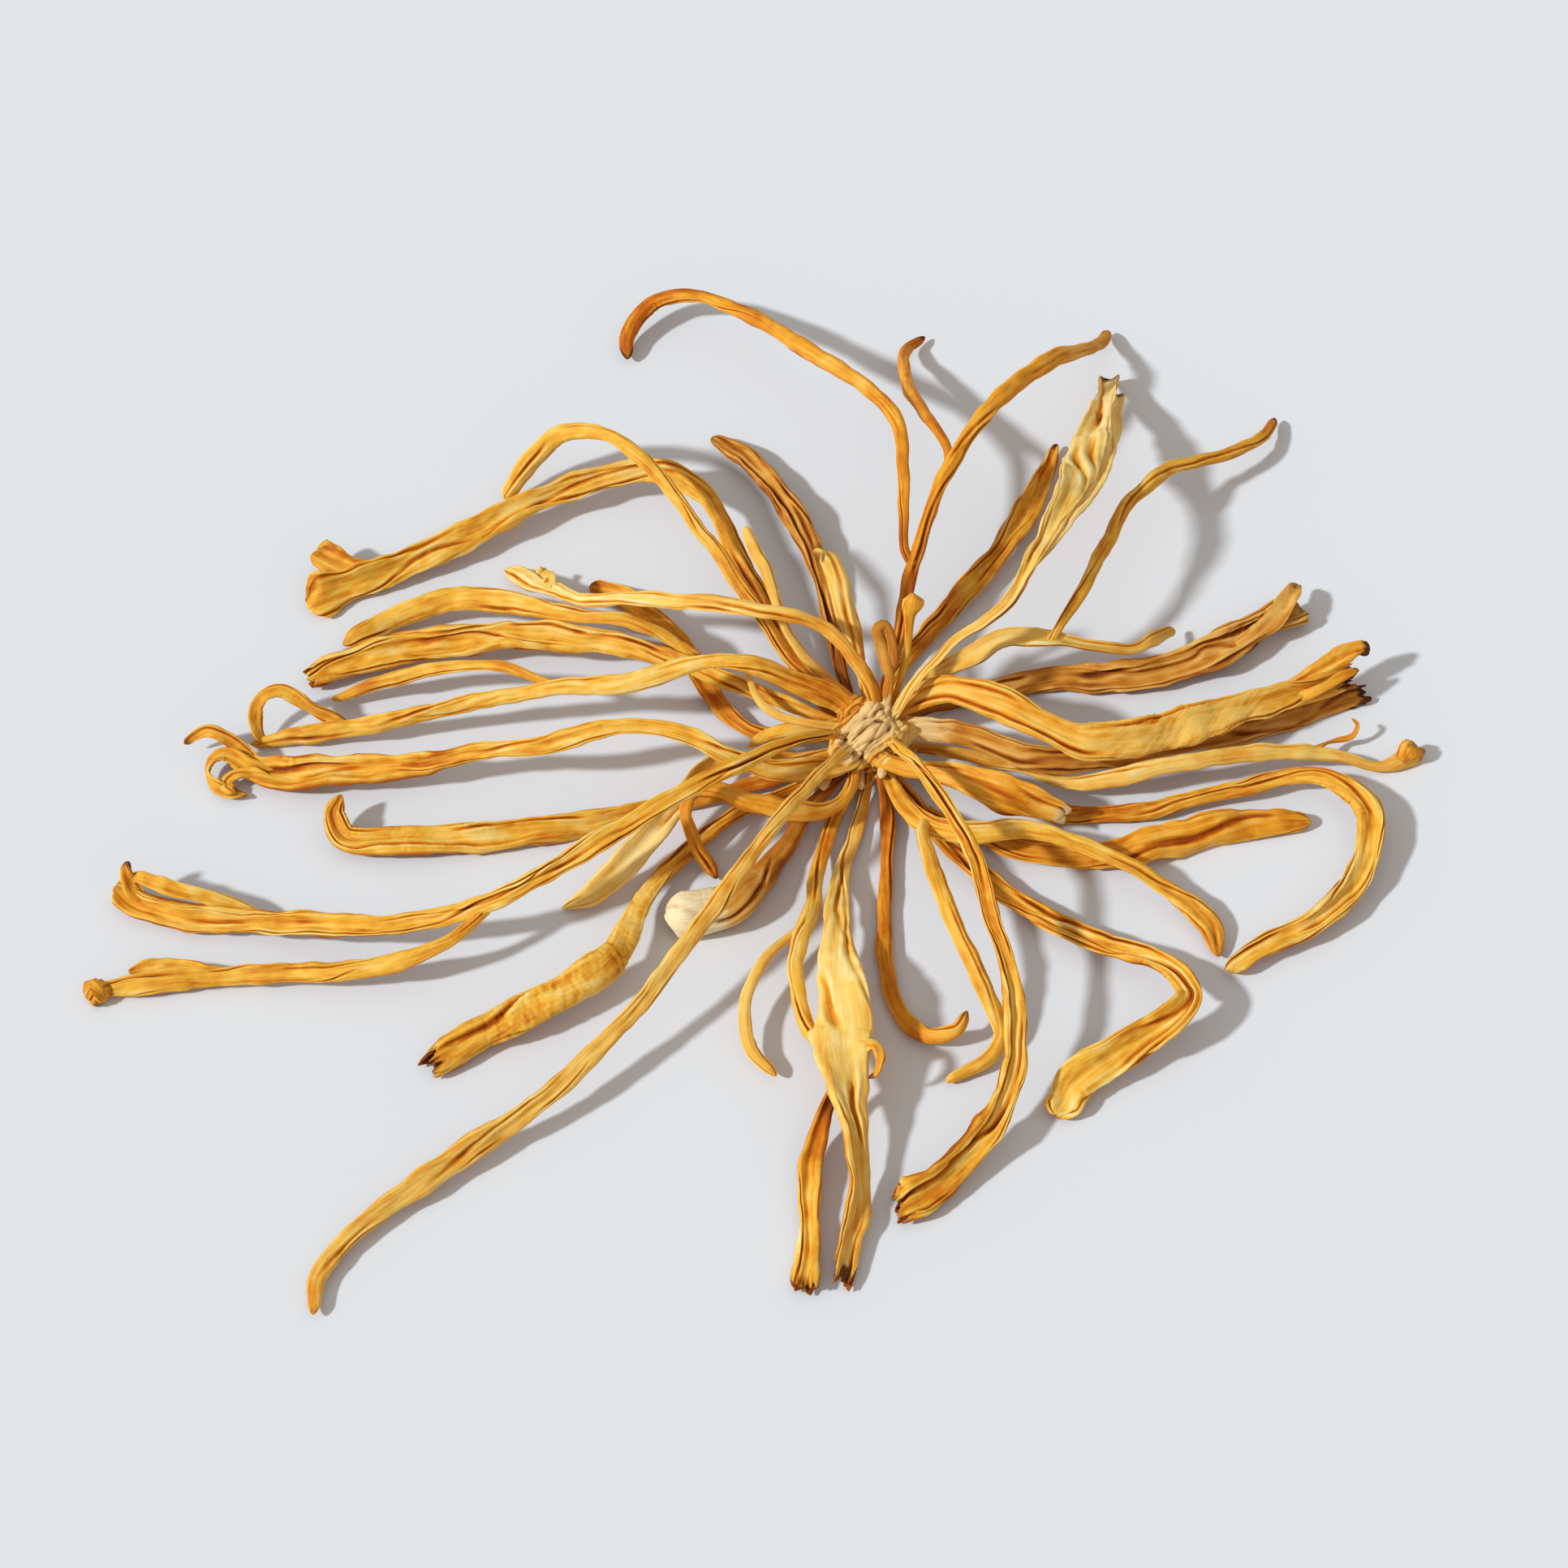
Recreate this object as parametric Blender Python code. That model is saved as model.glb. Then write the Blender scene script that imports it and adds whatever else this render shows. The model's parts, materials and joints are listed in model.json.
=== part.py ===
# A dried cordyceps cluster: slender, shrivelled fruiting bodies that grew from one base.
# The base is cut off flat beneath and rests on the cut; the stems arch out of it and
# come down round it. Lengths are in millimetres until mesh_object() turns them to metres.

import math

import bpy
import numpy as np

MM = 0.001
GAP = 0.3                        # clear space between the base and each stem's root

# Driving dimensions
BASE_CENTRE = (0.2, -0.4)        # middle of the base, seen from above
BASE_RADII = (5.0, 4.4)          # half width and half depth at its widest height
BASE_WIDEST = 3.6                # height of the widest part
BASE_RISE = 5.2                  # from the widest part up to the crown
BASE_HEIGHTS = (0.0, 1.0, 2.2, 3.6, 5.0, 6.3, 7.4, 8.2, 8.65)
BASE_SIDES = 22
BASE_LOBES = ((3, 0.045, 0.6), (5, 0.035, 1.9), (9, 0.022, 0.4))   # count, depth, phase

RING_SPACING = 5.1               # along a stem
FACING = (0.0, -0.45, 0.9)       # way that a flat stem's broad face looks where it has no turn
FEWEST_RINGS = 5                 # on the shortest stem
GROOVE_SPREAD = 0.4              # half width of the fold in a broad face, over the stem's
TIP_LENGTH = 0.7                 # length over which a closed tip rounds off
TIP_SHOULDER = 0.85              # the tip's width where it starts to round off, over the stem's
TIP_END = 0.45                   # and where it ends
MOUTH_DEPTH = 1.8                # depth of the hollow in a broken, open end
MOUTH_WALL = 0.72                # the hollow's width at its lip, over the stem's
MOUTH_FLOOR = 0.5                # and at its bottom

# Finishes: base colour and roughness
FINISHES = {
    "golden": ((0.74, 0.40, 0.07), 0.62),
    "pale": ((0.84, 0.60, 0.22), 0.68),
    "orange": ((0.60, 0.25, 0.03), 0.58),
    "brown": ((0.44, 0.19, 0.04), 0.66),
    "mycelium": ((0.62, 0.44, 0.22), 0.85),
}


def stem(finish, flat, route, turn=(0, 0), groove=0.0, sides=8, end="closed"):
    """One stem: flat is its thickness over its width, turn its twist in degrees from root to
    tip, groove the depth of the fold down its broad face, and route its x, y, z and width."""
    return {"finish": finish, "flat": flat, "route": route, "turn": turn,
            "groove": groove, "sides": sides, "end": end}


# Each route starts inside the base, or on the stem that the branch grows from.
STEMS = {
    # long stems to the left
    "left_long_stem": stem("golden", 0.62, turn=(20, -15, 25, 0), route=[
        (-0.5, 1, 6, 3), (-4, 3, 8.2, 3), (-8.5, 3.5, 10.2, 2.9), (-14.5, 4.5, 12.5, 2.4),
        (-19.5, 5, 13, 2), (-24.5, 4.5, 12, 2.2), (-30, 3.5, 10.5, 2.4), (-39.5, 4, 8.5, 2.1),
        (-49.5, 3.5, 6.3, 2), (-59.5, 2.5, 4.1, 2.3), (-68, 2, 2.2, 2.5), (-74, 1.5, 1.1, 2.2),
        (-78, 1, 0.7, 1.4)]),
    "left_front_stem": stem("golden", 0.55, turn=(0, 10, -10, 0), groove=0.35, route=[
        (-0.5, -3.5, 4.6, 2.2), (-6, -6, 5.4, 2.7), (-12.5, -7, 7, 2.6), (-17.5, -6.5, 9, 2.3),
        (-22.5, -4.5, 10.5, 2.2), (-28.5, -3.5, 10.8, 2.2), (-34, -3.5, 10, 2.4),
        (-40, -4.5, 8.4, 2.6), (-48.5, -4, 6.4, 2.4), (-56, -4.5, 4, 3.2),
        (-63.5, -4.5, 2.5, 4.6), (-71.5, -4.5, 1.8, 5), (-77.5, -3, 1.3, 3.6),
        (-81, -0.5, 1, 1.6)]),
    "left_upper_stem": stem("pale", 0.75, sides=7, route=[
        (1.3, 2, 7.3, 1.6), (0.3, 3.5, 10, 1.8), (-2, 6, 12.8, 1.8), (-5.5, 9, 14.5, 1.8),
        (-10, 10, 15.5, 1.8), (-16, 11.5, 15.5, 1.9), (-22.5, 13.5, 14, 2), (-29.5, 16, 11.5, 1.8),
        (-35.5, 18, 8.5, 1.8), (-40, 22.5, 5, 2.1), (-43, 25.5, 2.9, 2.7),
        (-46.5, 28.5, 1, 1.5)]),
    "left_leaf_stem": stem("pale", 0.4, turn=(0, 10, -15), groove=0.4, route=[
        (-1.5, -1.5, 3, 1.6), (-8.5, -3, 3, 1.8), (-15, -3, 3.2, 1.8), (-19.5, -4, 3.8, 2),
        (-23, -10, 4.8, 2.8), (-28, -17, 4.6, 4), (-33, -22, 2.4, 3.4), (-38, -23.5, 0.5, 0.9)]),
    "left_hooked_stem": stem("golden", 0.6, groove=0.2, route=[
        (-2, -0.5, 1.3, 1.2), (-5, -1, 1.3, 1.4), (-10, -4, 1.3, 1.8), (-17.5, -6.5, 1.3, 2),
        (-25, -8.5, 1.1, 2.2), (-32.5, -10.5, 1.2, 2.8), (-41.5, -13, 1.4, 3.6), (-51.5, -14, 1.5, 4),
        (-60, -14.5, 1.5, 3.8), (-65, -14, 1.8, 3.2), (-66.5, -11.5, 3, 2.8),
        (-65.5, -9, 4.2, 1.8)]),
    "left_arch_stem": stem("golden", 0.75, sides=7, route=[
        (-2, 4, 3.8, 1.4), (-6.5, 8.5, 4, 1.5), (-11, 13.5, 4.8, 1.7), (-15, 20, 6.4, 1.8),
        (-20.5, 28, 8.4, 1.9), (-26.5, 36.5, 10.4, 2), (-32.5, 42.5, 11, 2), (-39, 45, 9, 2.2),
        (-43.5, 43.5, 5, 2.5), (-47, 40, 1.3, 1.8)]),
    "left_broad_stem": stem("orange", 0.5, turn=(0, -20, 10), groove=0.3, route=[
        (-2.5, 1.4, 2.4, 1.4), (-6, 1.5, 1.8, 1.5), (-13, 2, 1.1, 2), (-17.5, 5, 1, 2.5),
        (-20.5, 9.5, 1.4, 3.1), (-23, 14, 2.2, 3.5), (-26.5, 18.5, 2.4, 3.5), (-31, 23, 1.8, 3),
        (-35.5, 26, 1, 2)]),
    "left_middle_stem": stem("golden", 0.55, turn=(0, 10, -10), groove=0.3, route=[
        (-3.2, 1.5, 4.2, 1.3), (-6, 2.7, 4.2, 1.5), (-10, 4.6, 4.3, 1.9), (-18, 8.5, 4.6, 2.2),
        (-28, 12.5, 5, 2.6), (-38, 15, 4.6, 3.4), (-48, 15.8, 3.6, 4.2), (-58, 15, 2.4, 4.4),
        (-66, 12.8, 1.8, 3.6), (-71, 10.5, 1.3, 2)]),
    "left_fork_stem": stem("golden", 0.65, sides=7, route=[
        (-24.8, 13.3, 6.2, 1.2), (-30, 15.6, 7.2, 1.6), (-36.5, 16.6, 6.6, 1.8), (-43, 19.5, 5.2, 2.6),
        (-51, 21.5, 3.8, 3.2), (-58, 21, 2.6, 3.2), (-64, 18.5, 1.6, 2.6), (-67, 16.5, 1, 1.5)]),
    "left_strap_stem": stem("golden", 0.5, turn=(0, 10, -10, 5), groove=0.3, route=[
        (-2.2, 3, 1.4, 1.2), (-4.4, 5.2, 1.3, 1.3), (-8, 11, 1.5, 1.8), (-12.5, 20, 2.6, 2.2),
        (-17, 30, 4, 2.4), (-21, 38, 4.8, 2.8), (-27, 42, 4.8, 3.4), (-35, 41, 4.4, 3.6),
        (-44, 37, 3.6, 3.6), (-53, 32, 2.7, 3.8), (-61, 28, 2.2, 4.2), (-68, 25, 1.8, 4),
        (-72, 23, 1.4, 2.6)]),
    "left_side_stem": stem("golden", 0.75, sides=6, route=[
        (-41.3, 5.6, 8.3, 1.1), (-46, 8, 7.8, 1.4), (-54, 9.4, 5.4, 1.6), (-62, 8.6, 3, 1.8),
        (-68, 7.4, 1.4, 1.4)]),
    "left_low_stem": stem("golden", 0.55, groove=0.3, route=[
        (-3, -1.6, 6.6, 1.2), (-5.6, -3.4, 8.8, 1.3), (-9.5, -6, 11, 1.7), (-18, -11.5, 12.6, 2),
        (-29, -18.5, 12, 2.2), (-40, -25, 9.5, 2.4), (-50, -28.5, 6.8, 2.6), (-60, -29, 4.6, 3),
        (-70, -27.5, 3, 3.6), (-81, -26, 2, 4.2), (-89, -24, 1.8, 4), (-93, -21, 1.4, 2.6)]),
    "left_tail_stem": stem("golden", 0.6, sides=7, route=[
        (-48.5, -30.1, 7, 1.3), (-53, -33, 5.6, 1.8), (-60, -34.5, 3.8, 2.3), (-71, -34.5, 2.2, 2.4),
        (-81, -34.5, 1.6, 2.6), (-90, -35.5, 1.4, 2.8), (-95, -36.5, 1.1, 1.8)]),
    # short stems on the left
    "short_left_stem": stem("golden", 0.7, sides=6, route=[
        (-2.5, 0, 5, 1.5), (-6, 0, 5.8, 1.6), (-9.5, -0.5, 6, 1.7), (-12.5, -1, 5.6, 1.7),
        (-15, -2.5, 5, 1.2)]),
    "short_pale_stem": stem("pale", 0.6, sides=6, route=[
        (-3, -0.5, 6.6, 1), (-7, -0.5, 7.4, 1), (-11.5, 1, 7.4, 1), (-14, 4, 7, 1),
        (-15, 8, 6.4, 0.8)]),
    # stems at the back
    "back_thin_stem": stem("pale", 0.7, sides=6, route=[
        (-1, 2.5, 5.4, 1.2), (-4.5, 7, 5.8, 1.2), (-8, 9.5, 7.8, 1.4), (-10, 12, 9.6, 1.4),
        (-11.5, 15.5, 11.5, 1.4), (-13, 20, 12.5, 1.7), (-14.5, 24, 12, 1.6), (-15.5, 28, 11, 1.1)]),
    "back_pale_stem": stem("pale", 0.7, sides=7, route=[
        (0, 3, 6.4, 1.2), (-0.5, 5.5, 7.2, 1.2), (-1, 8.5, 9, 1.3), (-2, 12, 11, 2.2),
        (-3.5, 15, 14, 2.4), (-4.5, 17.5, 16, 2.2), (-5.5, 19, 17.5, 1.9)]),
    "back_folded_stem": stem("brown", 0.7, sides=6, route=[
        (1.9, 0.6, 7.2, 1), (2.7, 3.5, 10.6, 1.1), (1.6, 7, 12.8, 1.4), (1, 8.5, 14.8, 1.3),
        (2, 9, 15.1, 1.3), (2.9, 8, 14, 1.4), (3.2, 6.5, 12.6, 1.5), (3.3, 5, 11.6, 1)]),
    "back_knob_stem": stem("golden", 0.9, sides=6, route=[
        (2.4, 1.4, 7, 0.8), (4, 4.5, 9.5, 0.8), (4.9, 7, 12, 0.9), (5.2, 10, 15.4, 1.2),
        (5.5, 11, 17.2, 2.3), (5.5, 12, 17.9, 1.2)]),
    "back_arch_stem": stem("orange", 0.75, sides=7, route=[
        (2, 3, 5, 1.3), (2.5, 7.5, 5.8, 1.4), (4, 13, 7, 1.6), (5.5, 21, 9, 1.8),
        (8, 29.5, 11, 1.9), (11.5, 38, 13, 2), (18, 48, 13.2, 2.2), (24.5, 55.5, 10.8, 2.2),
        (29, 60.5, 7, 2), (32, 65.5, 2.8, 1.8), (33, 69, 0.8, 1.3)]),
    "back_ribbon_stem": stem("pale", 0.35, turn=(0, 30, -20, 35, 0), groove=0.3, route=[
        (3.2, 0.6, 7.4, 1.2), (5.7, 3.2, 10.8, 1.3), (8.5, 5.5, 12.6, 1.3), (11, 8, 13.6, 1.4),
        (14, 9.5, 14.6, 1.8), (17.5, 12, 15.6, 1.8), (20, 16.5, 16.5, 2), (23, 23, 16.5, 3),
        (26, 31, 15, 4), (29, 41.5, 11, 4.6), (31.5, 52, 5.6, 3.4), (33, 60.5, 1, 2)]),
    "back_side_stem": stem("orange", 0.75, sides=6, route=[
        (10.4, 39.4, 13, 1.2), (8.3, 45, 11.6, 1.5), (6, 53, 8, 1.7), (5.4, 60, 4.6, 1.7),
        (6, 65, 2, 1.6), (8.5, 68, 0.9, 1.1)]),
    "back_curl_stem": stem("orange", 0.75, sides=7, route=[
        (4.8, 25, 10.3, 1.2), (4.8, 33, 12.4, 1.6), (4.4, 42, 13.2, 1.8), (0.5, 49.5, 12.4, 1.9),
        (-5.5, 56, 10.4, 2), (-11, 62.5, 8.4, 2), (-17, 68, 6.8, 2), (-23, 71.5, 5.2, 2),
        (-28, 71.5, 3.8, 2), (-31, 68, 2.4, 2.2), (-31.5, 64, 1.2, 1.8)]),
    "back_low_stem": stem("brown", 0.55, groove=0.25, route=[
        (-0.9, 3.5, 1.8, 1.1), (-1.8, 6.5, 1.4, 1.2), (-3, 12, 1.2, 1.8), (-4.5, 20, 1.5, 2.4),
        (-6.5, 29, 2.4, 3), (-10, 38, 2.6, 3.4), (-15, 45.5, 1.9, 3.2), (-20, 50.5, 1.1, 2)]),
    "back_right_stem": stem("golden", 0.55, groove=0.25, route=[
        (0.3, 3.7, 2.3, 1.1), (1.4, 6.5, 1.6, 1.2), (4, 12, 1.2, 1.8), (9.5, 20, 1.4, 2.4),
        (15.5, 28, 2, 3), (20.5, 36, 2.2, 3.4), (24, 44, 1.6, 2.8), (25.5, 49.5, 1, 1.4)]),
    # stems to the right
    "right_upper_stem": stem("pale", 0.45, turn=(0, 15, 0), groove=0.25, route=[
        (2.5, 3, 4, 1.5), (6.5, 7, 5, 1.6), (10, 9, 6.3, 2.4), (13.5, 10, 7.6, 3.1),
        (17, 11.5, 8.6, 2.8), (23, 11.5, 8.8, 2.6), (28.5, 11.5, 7.4, 1.8), (34, 12.5, 5.6, 1.6),
        (37, 15.5, 3.8, 1.9), (39.5, 18.5, 1.4, 1.2)]),
    "right_back_stem": stem("brown", 0.5, turn=(0, 10, -10), groove=0.4, route=[
        (2, 2.6, 1.8, 1.3), (8.5, 6.5, 1.4, 1.8), (15.5, 9, 1.1, 2.6), (23, 11, 1.2, 3.4),
        (31, 11, 1.4, 4.2), (38.5, 12, 1.6, 5), (45.5, 15, 1.9, 5.2), (51, 18.5, 2, 4.6),
        (56, 22, 1.4, 3.4)]),
    "right_ribbon_stem": stem("orange", 0.42, turn=(0, 5, -10, 0), groove=0.3, end="open", route=[
        (1.5, 1.8, 5.9, 2.4), (4.7, 2.8, 7.1, 2.8), (8.5, 3.5, 8.9, 3.5), (12.5, 2, 10.2, 4),
        (17, 0, 10.4, 4.2), (21, -2.5, 10, 4.1), (25.5, -4, 9.2, 4.2), (30, -4, 8.6, 4.4),
        (35.5, -2.5, 7.8, 4.6), (42.5, 0.5, 7, 4.4), (49.5, 4, 5.5, 3.7), (56.5, 7.5, 4.3, 3.4),
        (61.5, 10, 3.6, 3.4)]),
    "right_brown_stem": stem("brown", 0.5, turn=(0, -10, 5), groove=0.3, end="open", route=[
        (1.5, 0.3, 4.4, 2.6), (7, 0, 5.4, 3), (11, -1, 5.8, 3.1), (15.5, -2.5, 5.8, 3.2),
        (19, -4, 5.4, 3.2), (25, -4.5, 4.8, 3), (31, -3, 3.8, 2.8), (38.5, -0.5, 3, 2.8),
        (46.5, 2, 2, 3), (53.5, 5, 1.4, 3.2), (59.5, 7.5, 1.1, 3), (63.5, 8.5, 0.9, 2.4)]),
    "right_thin_stem": stem("pale", 0.7, sides=6, route=[
        (2.5, 0, 2, 1.3), (9, -0.5, 1.6, 1.4), (15, -2, 1.7, 1.6), (20, -3.5, 1.9, 1.8),
        (26, -6.5, 2.6, 2), (31, -6.5, 3.9, 2.2), (37.5, -5.5, 5.2, 2.2), (46, -3.5, 4.8, 2.2),
        (54.5, -2, 3.4, 2), (60.5, -2, 2, 1.6), (64.5, -2.5, 1.1, 1.5), (67.5, -1.5, 1.1, 2.5),
        (70.5, 0, 0.8, 1.6)]),
    "right_torn_stem": stem("orange", 0.5, groove=0.3, end="open", route=[
        (0.5, -4, 5.2, 1.8), (4.5, -6, 5.5, 2.2), (8.5, -7, 6, 2.6), (12.5, -8.5, 6.6, 3.6),
        (16.5, -10.5, 6.4, 4.8), (21, -11.5, 5.2, 4.6), (24.5, -12, 3.8, 3.2)]),
    "right_low_stem": stem("golden", 0.6, turn=(0, 15, 0), groove=0.25, route=[
        (1, -3, 3.2, 1.3), (2.5, -6, 3.2, 1.6), (4.5, -10.5, 3.7, 2.1), (7.5, -14.5, 4.8, 2.6),
        (12, -16, 5.6, 2.9), (18.5, -15.5, 5.8, 2.4), (25.5, -17, 5.2, 2), (32, -20, 4, 2),
        (38, -23, 2.4, 2.2), (41.5, -26.5, 1.3, 2.8), (43, -31, 0.7, 1.4)]),
    "right_curl_stem": stem("golden", 0.75, sides=6, route=[
        (24.2, 13, 9.4, 1.2), (27.5, 18.5, 10.4, 1.5), (30.5, 25.5, 10.2, 1.8),
        (34, 33.5, 9, 1.9), (40, 40.5, 7, 1.9), (46.5, 44.5, 5, 1.7), (52, 48.5, 2.8, 1.3),
        (54.5, 54, 0.9, 1)]),
    "right_loop_stem": stem("golden", 0.55, turn=(0, 10, -10), groove=0.3, route=[
        (3.4, -2.1, 3, 1.3), (6, -3.4, 2.7, 1.4), (10, -5.2, 2, 1.8), (16.5, -7.4, 1.4, 2.1),
        (25, -10, 1.2, 2.2), (35, -9.5, 1.5, 2.2), (45, -7.2, 2.2, 2.2), (53.5, -5.4, 2.8, 2.4),
        (59.5, -7, 3, 2.8), (62.5, -12, 2.8, 3.2), (61, -19, 2.4, 3.6), (55.5, -26, 2, 3.8),
        (48, -30.5, 1.5, 3.2), (43.8, -33, 1.1, 2)]),
    "right_front_stem": stem("orange", 0.5, groove=0.35, route=[
        (9.6, -11, 1.4, 1.2), (13.5, -13, 1.3, 1.9), (20, -15.8, 1.4, 2.6), (29, -16.5, 1.6, 3.4),
        (38, -14.5, 2, 4.2), (45, -12.5, 2.2, 4.2), (51, -11.5, 1.8, 3.4), (55, -11.2, 1.2, 2)]),
    # stems in front
    "front_branch_stem": stem("golden", 0.7, sides=7, route=[
        (6.6, -16, 6.1, 1.5), (7.4, -21.5, 7.6, 2), (9.5, -29, 8, 2.2), (12.5, -36, 6.4, 2.2),
        (15, -41, 3.6, 2), (15.5, -43.5, 2.2, 1.8), (13.5, -46.5, 1.2, 1.7), (9, -49, 0.7, 1.2)]),
    "front_strap_stem": stem("golden", 0.45, turn=(0, 10, -10, 0), groove=0.4, route=[
        (1, -1.5, 1.5, 1.3), (3, -4, 1.5, 1.4), (6, -8.5, 1.3, 1.8), (10.5, -15.5, 1.3, 2.2),
        (18.5, -23.5, 1.8, 2.6), (28.5, -30, 2.4, 3), (36, -34, 3.4, 3.2), (38.5, -38.5, 4.4, 3.4),
        (36, -42.5, 4.4, 4.2), (30.5, -45.5, 3.2, 4.8), (25, -49.5, 1.8, 4.8),
        (22, -53.5, 1.1, 3.8)]),
    "front_curled_stem": stem("orange", 0.75, sides=6, route=[
        (0.6, -2, 1.5, 1.1), (1.7, -5, 1.5, 1.2), (2.5, -11, 0.9, 1.6), (2, -21, 0.9, 1.7),
        (2, -31, 0.9, 1.8), (3.5, -39, 1, 2), (6.5, -43, 1.6, 2), (10, -43, 2.8, 1.9),
        (11.5, -40.5, 3.6, 1.4)]),
    "front_club_stem": stem("pale", 0.4, turn=(0, 0, 10, -25, 20, 0), groove=0.3, end="open", route=[
        (0, -2.5, 1.5, 1.1), (0, -5.5, 1.5, 1.2), (-1.5, -12, 1, 1.8), (-3.5, -19.5, 2, 2.2),
        (-4, -28.5, 4.2, 3.2), (-4, -35.5, 5.2, 5), (-3.5, -41.5, 5.8, 5.6), (-3.5, -47, 6, 5.8),
        (-3, -53.5, 5.2, 4.8), (-2, -60, 4, 3.3), (-2, -66, 2.4, 3.2), (-3, -71.5, 1.4, 3.2),
        (-4, -76.5, 1.1, 2.8)]),
    "front_side_stem": stem("orange", 0.6, groove=0.4, route=[
        (-5.4, -54.2, 3.8, 1.8), (-7, -60, 2.2, 3), (-7.5, -65.5, 1.3, 3.1), (-7.5, -71, 1.2, 3.2),
        (-8, -77.5, 1.1, 2.6)]),
    "front_thin_stem": stem("golden", 0.7, sides=7, route=[
        (-0.9, -2, 1.4, 1.1), (-1.7, -5, 1.4, 1.1), (-4.3, -11, 1, 1.7), (-6, -18.5, 2.2, 2),
        (-7, -25.5, 3.4, 2.2), (-8.5, -31, 3.8, 2), (-9, -35.5, 3.8, 2), (-8.5, -40.5, 3.6, 2),
        (-7.5, -43.5, 3.4, 1.8)]),
    "front_loop_stem": stem("orange", 0.75, sides=7, route=[
        (-1.5, -3, 3, 1.3), (-2, -7, 3.2, 1.6), (-4.5, -11, 4.3, 2), (-8.5, -13, 5.8, 2.4),
        (-14.5, -12.5, 7.4, 2.4), (-18.5, -11.5, 8.4, 2), (-21.5, -11.5, 8.2, 1.6),
        (-22.5, -14, 7, 1.5), (-21.5, -16.5, 4.2, 1.6), (-20, -18, 1.7, 1.5), (-19, -19.5, 0.8, 1.2)]),
    "front_hollow_stem": stem("brown", 0.85, sides=10, end="open", route=[
        (-1.6, -2, 1.6, 1.1), (-3.4, -4.4, 1.6, 1.2), (-7.5, -9.5, 1.5, 1.9), (-11, -16.5, 1.7, 2.6),
        (-14.5, -21.5, 2.3, 4.2), (-18, -25, 2.7, 5.4), (-22, -26, 2.7, 5.8),
        (-25, -26, 2.7, 5.6)]),
    "front_wrinkled_stem": stem("golden", 0.6, groove=0.25, route=[
        (-2, -1.4, 1.4, 1.1), (-4.6, -3.1, 1.4, 1.2), (-10, -6.5, 1.3, 1.7), (-17, -10.5, 1.4, 2),
        (-22.5, -16, 1.8, 2.2), (-27.5, -23, 2.8, 2.6), (-29.5, -29.5, 3.8, 3.4), (-32.5, -34.5, 4.4, 4),
        (-38, -38.5, 3.8, 4.3), (-44.5, -41.5, 2.6, 4.4), (-50.5, -45, 1.5, 4),
        (-53.5, -47, 1.1, 2.6)]),
    "front_left_stem": stem("pale", 0.6, sides=7, route=[
        (-2, -2.8, 5.8, 1.2), (-4.2, -6.4, 8, 1.4), (-7.6, -12, 10.2, 1.8), (-12.5, -20, 11, 2),
        (-20, -31, 9.8, 2.2), (-28, -42, 7, 2.3), (-37, -51.5, 4.6, 2.6), (-46, -58, 3, 3),
        (-54, -64, 2.1, 3), (-61, -70, 1.6, 2.4), (-65, -76, 1.3, 2), (-65.5, -81, 1, 1.3)]),
    "front_right_stem": stem("golden", 0.5, groove=0.3, route=[
        (2.4, -2.4, 6.8, 1.2), (4.2, -6.2, 9.2, 1.4), (7, -11.5, 11.4, 1.8), (11.5, -20.5, 12, 2),
        (14.5, -31, 10.8, 2.2), (16.8, -41, 8.8, 2.6), (17, -49.5, 6, 3.4), (14.5, -56, 3.9, 4.2),
        (10, -61, 2.6, 4.4), (5.5, -65, 1.9, 3.8), (2.5, -67, 1.2, 2)]),
    "front_twig_stem": stem("pale", 0.75, sides=6, route=[
        (-10, -30.3, 4, 1.1), (-13, -34, 4.4, 1.4), (-15, -39.5, 3.4, 1.6), (-14.5, -45, 2.2, 1.7),
        (-11.5, -48.5, 1.2, 1.2)]),
}


def clear_scene():
    for item in list(bpy.data.objects):
        bpy.data.objects.remove(item, do_unlink=True)


def finish_material(name):
    colour, roughness = FINISHES[name]
    material = bpy.data.materials.get(name) or bpy.data.materials.new(name)
    material.use_nodes = True
    shader = material.node_tree.nodes["Principled BSDF"]
    shader.inputs["Base Color"].default_value = (*colour, 1.0)
    shader.inputs["Roughness"].default_value = roughness
    shader.inputs["Metallic"].default_value = 0.0
    return material


def mesh_object(name, points, faces, finish):
    """A closed mesh from points in millimetres."""
    mesh = bpy.data.meshes.new(name)
    mesh.from_pydata([tuple(MM * value for value in point) for point in points], [], faces)
    mesh.shade_smooth()
    mesh.set_sharp_from_angle(angle=math.radians(50))
    mesh.materials.append(finish_material(finish))
    piece = bpy.data.objects.new(name, mesh)
    bpy.context.collection.objects.link(piece)
    return piece


def ring_faces(rings, sides):
    """Quads between neighbouring rings, with both ends capped, facing out."""
    faces = []
    for ring in range(rings - 1):
        low, high = ring * sides, (ring + 1) * sides
        for side in range(sides):
            after = (side + 1) % sides
            faces.append((low + side, low + after, high + after, high + side))
    faces.append(tuple(reversed(range(sides))))
    faces.append(tuple(range((rings - 1) * sides, rings * sides)))
    return faces


def base_rings(grow=0.0):
    """Rings of the base: an ellipsoid cut flat below its middle, with shallow upright lobes."""
    points = []
    heights = list(BASE_HEIGHTS)
    heights[0] -= grow
    heights[-1] += grow
    for height in heights:
        climb = (height - BASE_WIDEST) / (BASE_RISE + grow)
        swell = math.sqrt(1.0 - climb * climb)
        for side in range(BASE_SIDES):
            angle = 2 * math.pi * side / BASE_SIDES
            lobe = 1.0 + sum(depth * math.cos(count * angle + phase)
                             for count, depth, phase in BASE_LOBES)
            points.append((BASE_CENTRE[0] + (BASE_RADII[0] * lobe + grow) * swell * math.cos(angle),
                           BASE_CENTRE[1] + (BASE_RADII[1] * lobe + grow) * swell * math.sin(angle),
                           height))
    return points


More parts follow.
